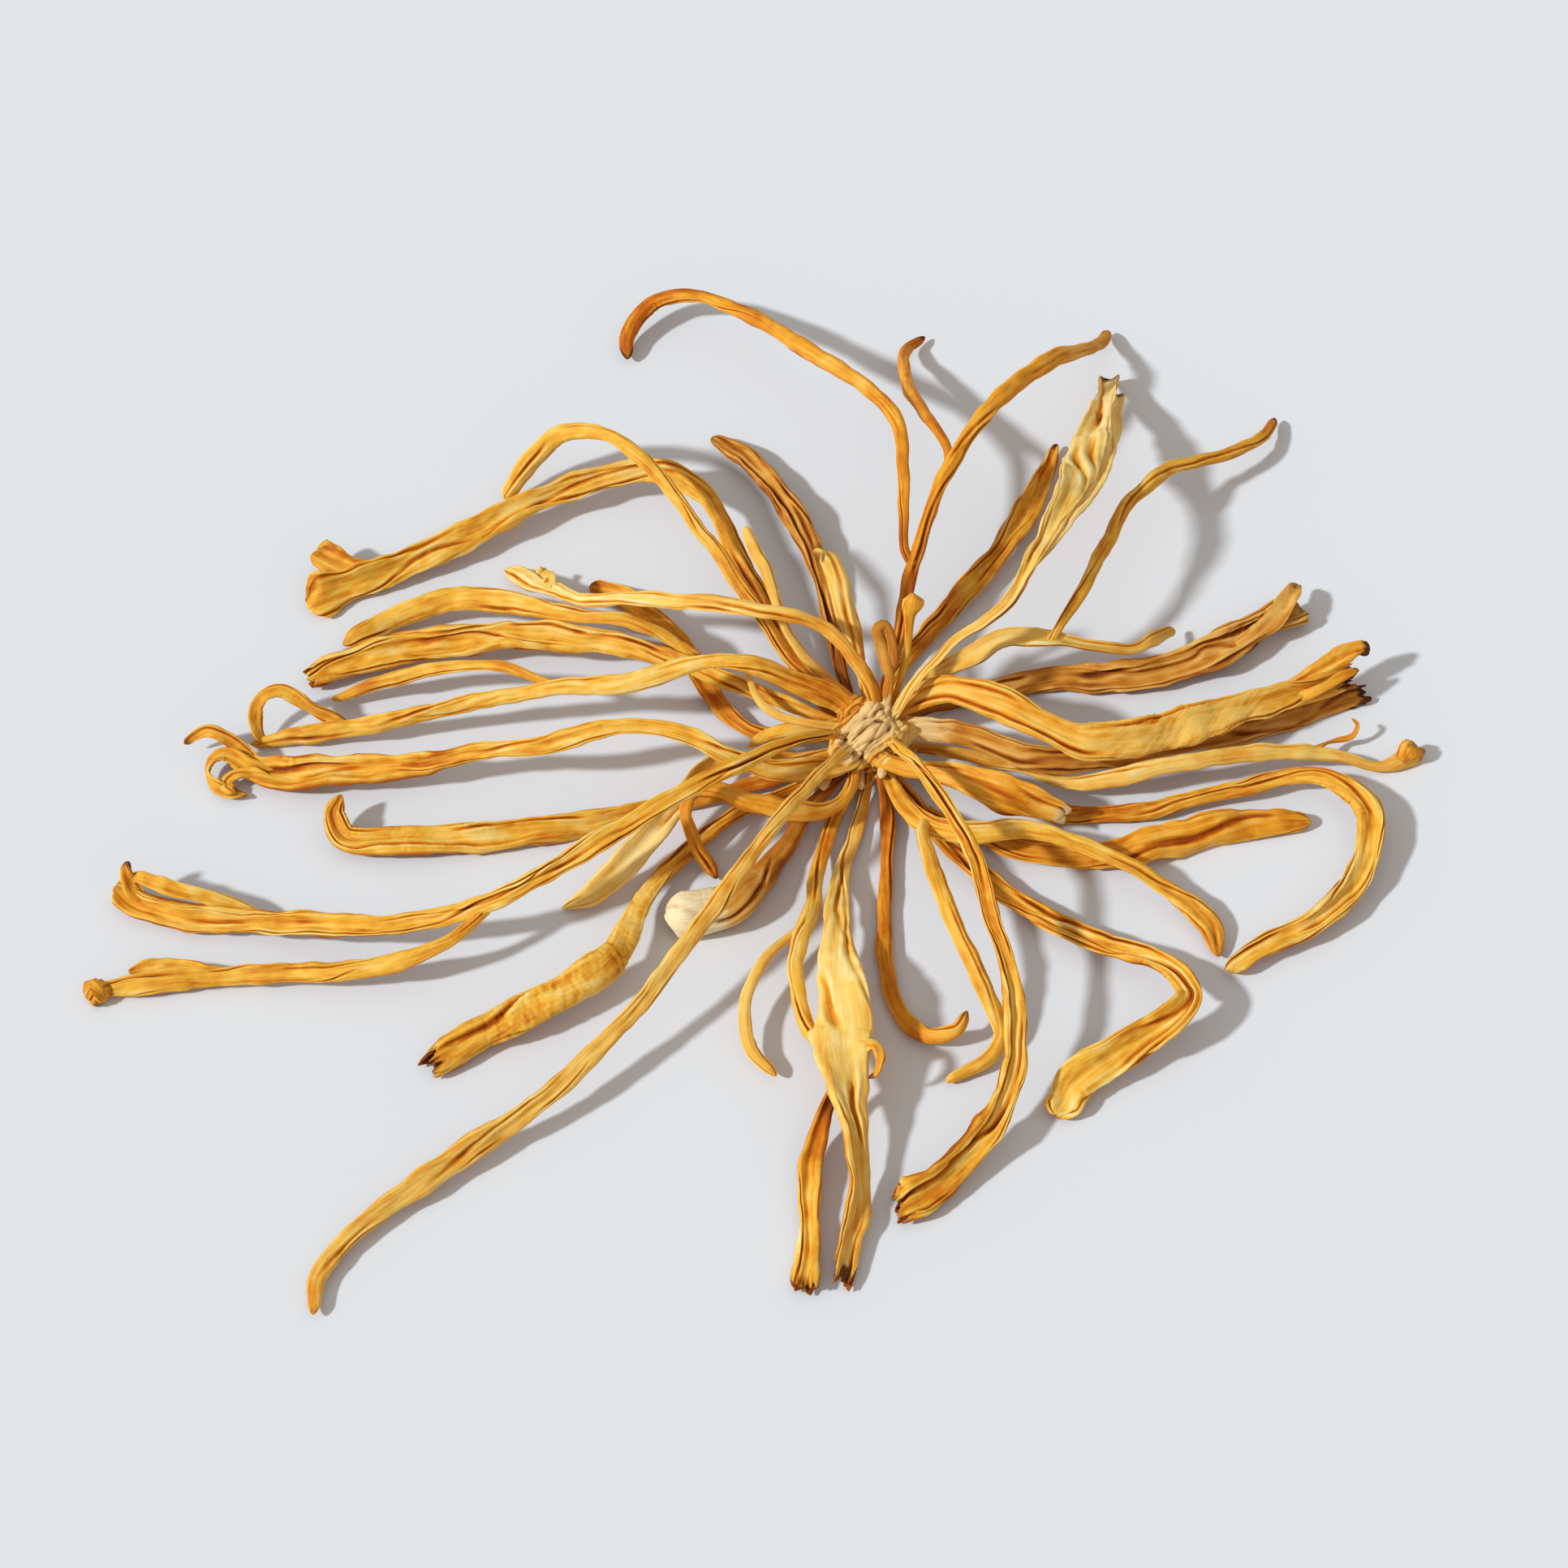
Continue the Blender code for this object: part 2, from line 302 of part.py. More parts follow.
def make_base():
    return mesh_object("base", base_rings(), ring_faces(len(BASE_HEIGHTS), BASE_SIDES), "mycelium")


def make_root_cutter():
    """The base grown by the gap, which trims every root so that it meets the base face to face."""
    cutter = mesh_object("root_cutter", base_rings(GAP), ring_faces(len(BASE_HEIGHTS), BASE_SIDES),
                         "mycelium")
    cutter.hide_render = True
    cutter.display_type = "WIRE"
    return cutter


def smooth_route(route):
    """Evenly spaced points on a smooth curve through the route, with the width beside each."""
    knots = np.array(route, float)
    reach = np.concatenate(([0.0], np.cumsum(np.linalg.norm(np.diff(knots[:, :3], axis=0), axis=1))))
    slope = np.gradient(knots, axis=0) / np.gradient(reach)[:, None]
    count = max(FEWEST_RINGS, int(round(reach[-1] / RING_SPACING)) + 1)
    along = np.linspace(0.0, reach[-1], count)
    first = np.clip(np.searchsorted(reach, along, side="right") - 1, 0, len(reach) - 2)
    span = (reach[first + 1] - reach[first])[:, None]
    part = (along - reach[first])[:, None] / span
    return ((2 * part**3 - 3 * part**2 + 1) * knots[first]
            + (part**3 - 2 * part**2 + part) * span * slope[first]
            + (3 * part**2 - 2 * part**3) * knots[first + 1]
            + (part**3 - part**2) * span * slope[first + 1])


def section(sides, groove):
    """A flattened round outline of unit half size; its upper middle is drawn in by the groove."""
    outline = []
    for side in range(sides):
        angle = 2 * math.pi * (side + 0.5 * (sides % 2)) / sides
        across, up = math.cos(angle), math.sin(angle)
        if up > 0:
            up -= groove * math.exp(-(across / GROOVE_SPREAD) ** 2)
        outline.append((across, up))
    return outline


def make_stem(name, spec, cutter):
    path = smooth_route(spec["route"])
    centres, widths = path[:, :3], path[:, 3]
    heading = np.gradient(centres, axis=0)
    heading /= np.linalg.norm(heading, axis=1)[:, None]
    turns = np.interp(np.linspace(0, 1, len(path)), np.linspace(0, 1, len(spec["turn"])), spec["turn"])
    outline = section(spec["sides"], spec["groove"])

    rings = []
    for centre, width, ahead, turn in zip(centres, widths, heading, np.radians(turns)):
        side = np.cross(ahead, FACING)
        side /= np.linalg.norm(side)
        face = np.cross(side, ahead)
        side, face = (math.cos(turn) * side + math.sin(turn) * face,
                      math.cos(turn) * face - math.sin(turn) * side)
        rings.append((centre, side * width / 2, face * width / 2 * spec["flat"]))

    centre, side, face = rings[-1]
    if spec["end"] == "closed":
        rings[-1] = (centre - heading[-1] * TIP_LENGTH, side * TIP_SHOULDER, face * TIP_SHOULDER)
        rings.append((centre, side * TIP_END, face * TIP_END))
    else:
        rings.append((centre, side * MOUTH_WALL, face * MOUTH_WALL))
        rings.append((centre - heading[-1] * MOUTH_DEPTH, side * MOUTH_FLOOR, face * MOUTH_FLOOR))

    points = [centre + side * across + face * up
              for centre, side, face in rings for across, up in outline]
    piece = mesh_object(name, points, ring_faces(len(rings), spec["sides"]), spec["finish"])
    trim = piece.modifiers.new("meet the base", "BOOLEAN")
    trim.operation = "DIFFERENCE"
    trim.solver = "EXACT"
    trim.object = cutter
    return piece


def main():
    clear_scene()
    make_base()
    cutter = make_root_cutter()
    for name, spec in STEMS.items():
        make_stem(name, spec, cutter)


main()
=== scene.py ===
import itertools
import json
import math

import bpy
import bmesh
import numpy as np
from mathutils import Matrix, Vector

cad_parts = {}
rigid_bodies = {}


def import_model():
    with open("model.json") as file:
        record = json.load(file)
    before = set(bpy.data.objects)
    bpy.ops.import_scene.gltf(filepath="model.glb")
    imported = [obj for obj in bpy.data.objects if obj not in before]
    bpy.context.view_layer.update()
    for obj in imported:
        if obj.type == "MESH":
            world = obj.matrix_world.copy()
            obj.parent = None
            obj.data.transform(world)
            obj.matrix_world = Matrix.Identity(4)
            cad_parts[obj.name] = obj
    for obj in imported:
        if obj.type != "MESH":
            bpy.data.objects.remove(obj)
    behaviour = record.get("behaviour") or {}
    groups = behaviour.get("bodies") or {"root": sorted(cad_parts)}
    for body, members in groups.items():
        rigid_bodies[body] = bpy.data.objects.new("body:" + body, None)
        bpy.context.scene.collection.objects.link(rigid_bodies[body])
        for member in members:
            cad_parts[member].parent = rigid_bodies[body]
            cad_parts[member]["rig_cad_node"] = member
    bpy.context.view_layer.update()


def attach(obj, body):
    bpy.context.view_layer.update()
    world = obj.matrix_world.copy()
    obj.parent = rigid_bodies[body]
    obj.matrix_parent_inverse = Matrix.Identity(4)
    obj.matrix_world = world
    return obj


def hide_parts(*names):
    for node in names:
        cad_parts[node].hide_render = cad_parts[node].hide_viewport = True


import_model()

mm = 0.001                                   # sizes are in millimetres until makePiece()
for item in list(bpy.data.objects):          # the start-up cube, lamp and camera
    if "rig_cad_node" not in item and not item.name.startswith("body:"):
        bpy.data.objects.remove(item, do_unlink=True)


# The camera comes first: it looks down on the cluster from the front, as the photo does
view = {"aim": (-10.5, -6.0, 2.0), "elevation": 55.0, "distance": 600.0, "lens": 110.0, "sensor": 36.0}


def addCamera(view):
    lens = bpy.data.cameras.new("camera")
    lens.lens = view["lens"]
    lens.sensor_width = view["sensor"]
    camera = bpy.data.objects.new("camera", lens)
    bpy.context.scene.collection.objects.link(camera)
    tilt = math.radians(view["elevation"])
    back = Vector((0, -math.cos(tilt), math.sin(tilt)))
    camera.location = (Vector(view["aim"]) + back * view["distance"]) * mm
    camera.rotation_euler = (math.pi / 2 - tilt, 0, 0)
    bpy.context.scene.camera = camera


addCamera(view)
print("camera set")


# Noise and small helpers
lattice = np.random.RandomState(11)
shuffle = np.concatenate([lattice.permutation(256)] * 3)
slopes = lattice.normal(size=(256, 3))
slopes /= np.linalg.norm(slopes, axis=1)[:, None]


def noise(x, y, z):
    # smooth lattice noise, about -1 to 1; the three arrays broadcast
    spots = np.broadcast_arrays(*(np.asarray(value, float) for value in (x, y, z)))
    cells = [np.floor(spot).astype(int) for spot in spots]
    near = [spot - cell for spot, cell in zip(spots, cells)]
    ease = [t ** 3 * (t * (t * 6 - 15) + 10) for t in near]
    total = np.zeros(spots[0].shape)
    for corner in itertools.product((0, 1), repeat=3):
        picked = 0
        for cell, step in zip(cells, corner):
            picked = shuffle[picked + ((cell + step) & 255)]
        slope = slopes[picked]
        value = sum(slope[..., axis] * (near[axis] - corner[axis]) for axis in range(3))
        for eased, step in zip(ease, corner):
            value = value * (eased if step else 1 - eased)
        total += value
    return total * 1.6


def ramp(value, low, high):
    t = np.clip((value - low) / (high - low), 0.0, 1.0)
    return t * t * (3 - 2 * t)


def bell(value, spread):
    return np.exp(-(value / spread) ** 2)


def along(places, values):
    # values spread evenly from the root to the tip, read at places from 0 to 1
    return np.interp(places, np.linspace(0, 1, len(values)), values)


# A piece is made from parts: points, faces and what the materials read at each point
def joinParts(parts):
    joined = {"points": [], "faces": [], "marks": {}}
    count = 0
    for part in parts:
        joined["points"].append(part["points"])
        joined["faces"] += [tuple(corner + count for corner in face) for face in part["faces"]]
        for mark, values in part["marks"].items():
            joined["marks"].setdefault(mark, []).append(values)
        count += len(part["points"])
    joined["points"] = np.concatenate(joined["points"])
    joined["marks"] = {mark: np.concatenate(values) for mark, values in joined["marks"].items()}
    return joined


def makePiece(node, parts, finish):
    part = joinParts(parts)
    mesh = bpy.data.meshes.new(node + "_dried")
    mesh.from_pydata((part["points"] * mm).tolist(), [], part["faces"])
    for mark, values in part["marks"].items():
        vector = values.ndim == 2
        attribute = mesh.attributes.new(mark, "FLOAT_VECTOR" if vector else "FLOAT", "POINT")
        attribute.data.foreach_set("vector" if vector else "value", values.astype(np.float32).ravel())
    mesh.shade_smooth()
    mesh.materials.append(finishes[finish])
    piece = bpy.data.objects.new(node + "_dried", mesh)
    bpy.context.scene.collection.objects.link(piece)
    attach(piece, "root")
    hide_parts(node)
    return piece


# Shader node groups, shared by the finishes
def startGroup(name, inputs, outputs):
    group = bpy.data.node_groups.new(name, "ShaderNodeTree")
    for label, kind, value in inputs:
        socket = group.interface.new_socket(label, in_out="INPUT", socket_type=kind)
        if value is not None:
            socket.default_value = value
    for label in outputs:
        group.interface.new_socket(label, in_out="OUTPUT", socket_type="NodeSocketFloat")
    return group, group.nodes.new("NodeGroupInput"), group.nodes.new("NodeGroupOutput")


def addNode(tree, kind, settings=None, **values):
    node = tree.nodes.new("ShaderNode" + kind)
    for name, value in (settings or {}).items():
        setattr(node, name, value)
    for name, value in values.items():
        socket = node.inputs[int(name[1:])] if name[0] == "i" and name[1:].isdigit() else node.inputs[name]
        if isinstance(value, bpy.types.NodeSocket):
            tree.links.new(value, socket)
        else:
            socket.default_value = value
    return node


def maths(tree, operation, *values):
    sockets = {"i%d" % place: value for place, value in enumerate(values)}
    return addNode(tree, "Math", {"operation": operation}, **sockets).outputs[0]


def remap(tree, value, low, high, toLow=0.0, toHigh=1.0, smooth=True):
    kind = "SMOOTHSTEP" if smooth else "LINEAR"
    return addNode(tree, "MapRange", {"interpolation_type": kind}, i0=value, i1=low, i2=high,
                   i3=toLow, i4=toHigh).outputs[0]


def stretched(tree, vector, across, length):
    # the grain's coordinates, measured in fibre widths and fibre lengths
    split = addNode(tree, "SeparateXYZ", i0=vector)
    return addNode(tree, "CombineXYZ",
                   i0=maths(tree, "DIVIDE", split.outputs[0], across),
                   i1=maths(tree, "DIVIDE", split.outputs[1], across),
                   i2=maths(tree, "DIVIDE", split.outputs[2], length)).outputs[0]


def fibreGroup():
    # long streaks that run with the grain
    group, given, out = startGroup("longFibres", [
        ("Grain", "NodeSocketVector", None), ("Width", "NodeSocketFloat", 0.3),
        ("Length", "NodeSocketFloat", 9.0), ("Contrast", "NodeSocketFloat", 1.6)], ["Streaks"])
    where = stretched(group, given.outputs["Grain"], given.outputs["Width"], given.outputs["Length"])
    streaks = addNode(group, "TexNoise", Vector=where, Scale=1.0, Detail=3.0, Roughness=0.55)
    centred = maths(group, "SUBTRACT", streaks.outputs[0], 0.5)
    strong = maths(group, "MULTIPLY_ADD", centred, given.outputs["Contrast"], 0.5)
    group.links.new(addNode(group, "Clamp", Value=strong).outputs[0], out.inputs["Streaks"])
    return group


def blotchGroup():
    # uneven patches, where the flesh dried at different speeds
    group, given, out = startGroup("blotches", [
        ("Place", "NodeSocketVector", None), ("Size", "NodeSocketFloat", 4.0),
        ("Cover", "NodeSocketFloat", 0.5), ("Softness", "NodeSocketFloat", 0.18)], ["Mask"])
    where = stretched(group, given.outputs["Place"], given.outputs["Size"],
                      maths(group, "MULTIPLY", given.outputs["Size"], 1.7))
    patches = addNode(group, "TexNoise", Vector=where, Scale=1.0, Detail=2.0, Roughness=0.6)
    edge = maths(group, "SUBTRACT", 1.0, given.outputs["Cover"])
    low = maths(group, "SUBTRACT", edge, given.outputs["Softness"])
    high = maths(group, "ADD", edge, given.outputs["Softness"])
    group.links.new(remap(group, patches.outputs[0], low, high), out.inputs["Mask"])
    return group


def shrivelGroup():
    # the skin's own bumps: fine fibres, cross creases and a dusty grain
    group, given, out = startGroup("shrivelledSkin", [
        ("Grain", "NodeSocketVector", None), ("Fibre", "NodeSocketFloat", 0.16),
        ("Crease", "NodeSocketFloat", 0.35), ("Dust", "NodeSocketFloat", 0.06)], ["Height"])
    fibreAt = stretched(group, given.outputs["Grain"], given.outputs["Fibre"], 2.4)
    fibre = addNode(group, "TexNoise", Vector=fibreAt, Scale=1.0, Detail=3.0, Roughness=0.6)
    creaseAt = stretched(group, given.outputs["Grain"], 1.3, given.outputs["Crease"])
    crease = addNode(group, "TexNoise", Vector=creaseAt, Scale=1.0, Detail=2.0, Roughness=0.5)
    dustAt = stretched(group, given.outputs["Grain"], given.outputs["Dust"], given.outputs["Dust"])
    dust = addNode(group, "TexNoise", Vector=dustAt, Scale=1.0, Detail=1.0, Roughness=0.5)
    height = maths(group, "MULTIPLY_ADD", crease.outputs[0], 0.55, fibre.outputs[0])
    height = maths(group, "MULTIPLY_ADD", dust.outputs[0], 0.22, height)
    group.links.new(height, out.inputs["Height"])
    return group


def brownedGroup():
    # where tips, torn edges and the insides of open ends have browned, with painted shade deepening inside those ends;
    # broken up along the fibres
    group, given, out = startGroup("browned", [
        ("Amount", "NodeSocketFloat", 0.0), ("Grain", "NodeSocketVector", None),
        ("Ragged", "NodeSocketFloat", 0.5)], ["Mask"])
    where = stretched(group, given.outputs["Grain"], 0.45, 1.5)
    ragged = addNode(group, "TexNoise", Vector=where, Scale=1.0, Detail=2.0, Roughness=0.6)
    centred = maths(group, "SUBTRACT", ragged.outputs[0], 0.5)
    pushed = maths(group, "MULTIPLY_ADD", centred, given.outputs["Ragged"], given.outputs["Amount"])
    group.links.new(remap(group, pushed, 0.25, 0.75), out.inputs["Mask"])
    return group


groups = {"fibres": fibreGroup(), "blotches": blotchGroup(), "shrivel": shrivelGroup(),
          "browned": brownedGroup()}
print("node groups built")

# Colours from the hollows of the folds to their ridges: the darkest colours are painted shade in the hollows and
# undersides, the palest are painted highlight on the ridges; then how each finish weathers
finishLooks = {
    "golden": {
        "colours": ((0.22, 0.036, 0.001), (0.61, 0.165, 0.004), (0.89, 0.48, 0.048), (0.965, 0.725, 0.26)),
        "browned": (0.12, 0.030, 0.006), "roughness": (0.50, 0.68)},
    "pale": {
        "colours": ((0.34, 0.080, 0.004), (0.76, 0.295, 0.018), (0.915, 0.575, 0.12), (0.955, 0.745, 0.34)),
        "browned": (0.20, 0.062, 0.011), "roughness": (0.54, 0.74)},
    "orange": {
        "colours": ((0.19, 0.029, 0.001), (0.54, 0.125, 0.003), (0.84, 0.36, 0.022), (0.93, 0.59, 0.13)),
        "browned": (0.09, 0.023, 0.005), "roughness": (0.46, 0.66)},
    "brown": {
        "colours": ((0.11, 0.022, 0.003), (0.36, 0.095, 0.006), (0.64, 0.26, 0.026), (0.83, 0.48, 0.12)),
        "browned": (0.06, 0.018, 0.005), "roughness": (0.50, 0.72)},
    "mycelium": {
        "colours": ((0.15, 0.032, 0.003), (0.52, 0.155, 0.008), (0.84, 0.43, 0.055), (0.92, 0.62, 0.19)),
        "browned": (0.12, 0.04, 0.01), "roughness": (0.70, 0.90)},
}
stops = (0.0, 0.35, 0.66, 0.97)               # where each colour sits, from hollow to ridge
# the base's felt, where it climbs the stems; its deepest colour is painted shade in the felt's hollows
feltColours = ((0.14, 0.042, 0.007), (0.50, 0.24, 0.055), (0.82, 0.56, 0.235), (0.93, 0.78, 0.47))


def placed(tree, name, **values):
    node = tree.nodes.new("ShaderNodeGroup")
    node.node_tree = groups[name]
    for label, value in values.items():
        if isinstance(value, bpy.types.NodeSocket):
            tree.links.new(value, node.inputs[label])
        else:
            node.inputs[label].default_value = value
    return node.outputs[0]


def mixColour(tree, amount, first, second):
    mix = tree.nodes.new("ShaderNodeMix")
    mix.data_type = "RGBA"
    sockets = [next(s for s in mix.inputs if s.identifier == name) for name in
               ("Factor_Float", "A_Color", "B_Color")]
    for socket, value in zip(sockets, (amount, first, second)):
        if isinstance(value, bpy.types.NodeSocket):
            tree.links.new(value, socket)
        else:
            socket.default_value = value
    return next(s for s in mix.outputs if s.identifier == "Result_Color")


def makeFinish(name, look):
    material = bpy.data.materials.new(name + "_flesh")
    material.use_nodes = True
    tree = material.node_tree
    shader = tree.nodes["Principled BSDF"]
    marks = {mark: addNode(tree, "Attribute", {"attribute_name": mark})
             for mark in ("grain", "relief", "ends", "felt", "tone")}
    grain = marks["grain"].outputs["Vector"]
    relief, ends, felt, tone = (marks[mark].outputs["Fac"] for mark in ("relief", "ends", "felt", "tone"))

    fine = placed(tree, "fibres", Grain=grain, Width=0.2, Length=6.0, Contrast=2.2)
    broad = placed(tree, "fibres", Grain=grain, Width=0.7, Length=16.0, Contrast=2.4)
    patch = placed(tree, "blotches", Place=grain, Size=4.2, Cover=0.5, Softness=0.16)
    fleck = placed(tree, "blotches", Place=grain, Size=0.6, Cover=0.42, Softness=0.12)

    # how far up from a fold's hollow to its ridge the colour is read: painted shade in the fold hollows and on the
    # undersides, painted highlight on the ridges, tops and edges
    level = maths(tree, "MULTIPLY_ADD", relief, 0.50, 0.41)
    for value, weight in ((fine, 0.15), (broad, 0.28), (patch, 0.16), (fleck, 0.05)):
        centred = maths(tree, "SUBTRACT", value, 0.5)
        level = maths(tree, "MULTIPLY_ADD", centred, weight, level)
    level = maths(tree, "MULTIPLY_ADD", tone, 0.30, level)
    colour = addNode(tree, "ValToRGB", i0=level)
    while len(colour.color_ramp.elements) < len(stops):
        colour.color_ramp.elements.new(0.5)
    for element, place, tint in zip(colour.color_ramp.elements, stops, look["colours"]):
        element.position = place
        element.color = (*tint, 1)
    deep, mid, high, cream = ((*tint, 1) for tint in feltColours)
    # the felt's colour: painted shade in its hollows, paler towards its ridges and where the tone rises
    lower = mixColour(tree, remap(tree, relief, -0.8, 0.2), deep, mid)
    upper = mixColour(tree, remap(tree, tone, 0.7, 1.6), high, cream)
    feltTint = mixColour(tree, remap(tree, maths(tree, "MULTIPLY_ADD", fine, 0.6, relief), -0.4, 0.8), lower, upper)
    feltMask = placed(tree, "browned", Amount=felt, Grain=grain, Ragged=0.9)
    colour = mixColour(tree, feltMask, colour.outputs[0], feltTint)
    endMask = placed(tree, "browned", Amount=ends, Grain=grain, Ragged=0.7)
    colour = mixColour(tree, endMask, colour, (*look["browned"], 1))
    tree.links.new(colour, shader.inputs["Base Color"])

    tree.links.new(remap(tree, fine, 0.0, 1.0, look["roughness"][1], look["roughness"][0], False),
                   shader.inputs["Roughness"])
    height = placed(tree, "shrivel", Grain=grain, Fibre=0.15, Crease=0.33, Dust=0.07)
    bump = addNode(tree, "Bump", Height=height, Strength=0.5, Distance=0.00013)
    tree.links.new(bump.outputs[0], shader.inputs["Normal"])
    shader.inputs["Metallic"].default_value = 0.0
    shader.inputs["IOR"].default_value = 1.42
    shader.inputs["Specular IOR Level"].default_value = 0.22
    shader.inputs["Subsurface Weight"].default_value = 0.22
    shader.inputs["Subsurface Radius"].default_value = (1.0, 0.42, 0.12)
    shader.inputs["Subsurface Scale"].default_value = 0.0007
    return material


finishes = {name: makeFinish(name, look) for name, look in finishLooks.items()}
print("finishes made")


# How a stem is grown. Each stem's own dictionary below overrides these.
stemHabit = {
    "finish": "golden", "seed": 1,
    "flat": 0.6, "turn": (0, 0), "groove": 0.0,   # thickness over width, twist in degrees, middle fold
    "end": "closed",                              # closed, or open where it is broken and hollow
    "cup": 0.12,                                  # how far the edges of a strap curl up, over its half width
    "roll": (0, 0),                               # how far its two edges roll up, in radians, along it
    "folds": 6, "foldDepth": 0.55,                # long folds, and their depth over the half thickness
    "swell": 0.17,                                # unevenness of the width
    "flare": 0.0, "thinEnd": 0.0,                 # how much the end widens, and thins to a sheet
    "lumps": 0.13, "fibre": 0.019, "pucker": 0.06,  # heights of lumps (over half width), fibres and puckers
    "wrinkles": (),                               # cross wrinkles: from, to, height, slant
    "tone": (0, 0), "stains": (),                 # lighter or darker along it; stains: place, reach, amount, side
    "felt": 0.0, "feltEnd": 0.0,                  # length of the base's felt on the root, and at the end
    "spiral": 0.0,                                # how fast the long folds wind round it, in radians per mm
    "tipLength": 1.3, "tipBrown": 0.3, "brownReach": 2.0,
    "curls": 0,                                   # strips that the end split into, each curling its own way
    "mouthDepth": 3.4, "wall": 0.30, "jagged": 0.9,
    "buried": None, "ending": None,               # a first or last point inside the stem that it joins
    "sprigs": (),                                 # small outgrowths
}
sweep = {"step": 0.41, "facet": 0.18, "fewest": 26, "most": 76,
         "facing": (0.0, -0.45, 0.9), "grooveSpread": 0.4}


# The base that every stem grows from, cut off flat beneath
baseLook = {
    "centre": (0.2, -0.4, 3.6), "radii": (5.0, 4.4, 5.2),
    "lobes": ((3, 0.045, 0.6), (5, 0.035, 1.9), (9, 0.022, 0.4)),   # count, depth, phase
    "knots": (                               # centre and radii of the swellings on it
        ((0.5, 0.9, 7.9), (1.5, 1.3, 1.2)), ((1.9, -2.2, 6.9), (2.9, 0.9, 1.0)),
        ((-0.9, -3.0, 5.9), (2.7, 0.8, 1.0)), ((-3.3, -2.7, 4.4), (1.7, 0.8, 1.1)),
        ((3.3, -0.7, 6.6), (2.2, 0.9, 0.9)), ((-2.4, 1.9, 6.6), (1.5, 1.5, 0.9))),
    "collar": (1.4, 0.45, 2.6),              # width at the base and at its end, over the stem's; length
    "voxel": 0.15, "smooth": 9,
    "foldsRun": (0.72, 0.55, 0.42),
    "folds": ((1.5, 16.0, 0.40), (0.75, 12.0, 0.26), (0.38, 8.0, 0.10)),   # width, length, height
    "lumps": (2.4, 0.30),                    # size, height
    "paleAt": (0.2, -1.7, 7.8), "pale": (1.5, 4.2),   # the pale top: its middle, and where it fades
}


def feltNear(points):
    # the pale felt: whole on the base's top, gone a little way up the stems
    run = np.array(baseLook["foldsRun"]) / np.linalg.norm(baseLook["foldsRun"])
    beside = np.cross(run, (0, 0, 1))
    beside /= np.linalg.norm(beside)
    v, w, u = points @ beside, points @ np.cross(run, beside), points @ run
    gap = points - baseLook["paleAt"]
    near = np.sqrt((gap ** 2).sum(1) - 0.62 * (gap @ run) ** 2) + 0.9 * noise(v / 0.5, w / 0.5, u / 5)
    return 1.15 - 1.2 * ramp(near, *baseLook["pale"])


def leavesBase(route):
    # how far along its route a stem comes out of the base
    places = np.linspace(0, routeReach(route)[-1], 400)
    out = (onRoute(route, places)[:, :3] - baseLook["centre"]) / baseLook["radii"]
    return float(places[int(np.argmax((out ** 2).sum(1) > 1))])


def routeReach(route):
    knots = np.array(route, float)
    return np.concatenate(([0.0], np.cumsum(np.linalg.norm(np.diff(knots[:, :3], axis=0), axis=1))))


def onRoute(route, places):
    # x, y, z and width on the smooth curve through the route's points
    knots, reach = np.array(route, float), routeReach(route)
    slope = np.gradient(knots, axis=0) / np.gradient(reach)[:, None]
    first = np.clip(np.searchsorted(reach, places, side="right") - 1, 0, len(reach) - 2)
    span = (reach[first + 1] - reach[first])[:, None]
    part = (places - reach[first])[:, None] / span
    return ((2 * part**3 - 3 * part**2 + 1) * knots[first]
            + (part**3 - 2 * part**2 + part) * span * slope[first]
            + (3 * part**2 - 2 * part**3) * knots[first + 1]
            + (part**3 - part**2) * span * slope[first + 1])


def stemFrames(centres, places, turns):
    heading = np.gradient(centres, places, axis=0)
    heading /= np.linalg.norm(heading, axis=1)[:, None]
    side = np.cross(heading, sweep["facing"])
    side /= np.linalg.norm(side, axis=1)[:, None]
    face = np.cross(side, heading)
    lean = np.radians(turns)[:, None]
    return heading, np.cos(lean) * side + np.sin(lean) * face, np.cos(lean) * face - np.sin(lean) * side


def longFolds(habit, dice, angle, s, seed):
    # valleys that wander, start and fade along the stem, with rounded ridges between them
    level = np.zeros(np.broadcast(angle, s).shape)
    for fold in range(habit["folds"]):
        start = 2 * math.pi * (fold + dice.uniform(-0.35, 0.35)) / habit["folds"]
        spread = dice.uniform(0.10, 0.20)
        drift = 1.3 * noise(s / 13, seed + 3.1 * fold, 0.5) + habit["spiral"] * s
        gap = (angle - start - drift + math.pi) % (2 * math.pi) - math.pi
        strength = ramp(noise(s / 8, seed + 7.7 * fold, 9.5), -0.35, 0.35) * dice.uniform(0.55, 1.0)
        level = level + strength * (0.35 * bell(np.abs(gap) - 2.1 * spread, 1.1 * spread) - bell(gap, spread))
    return level


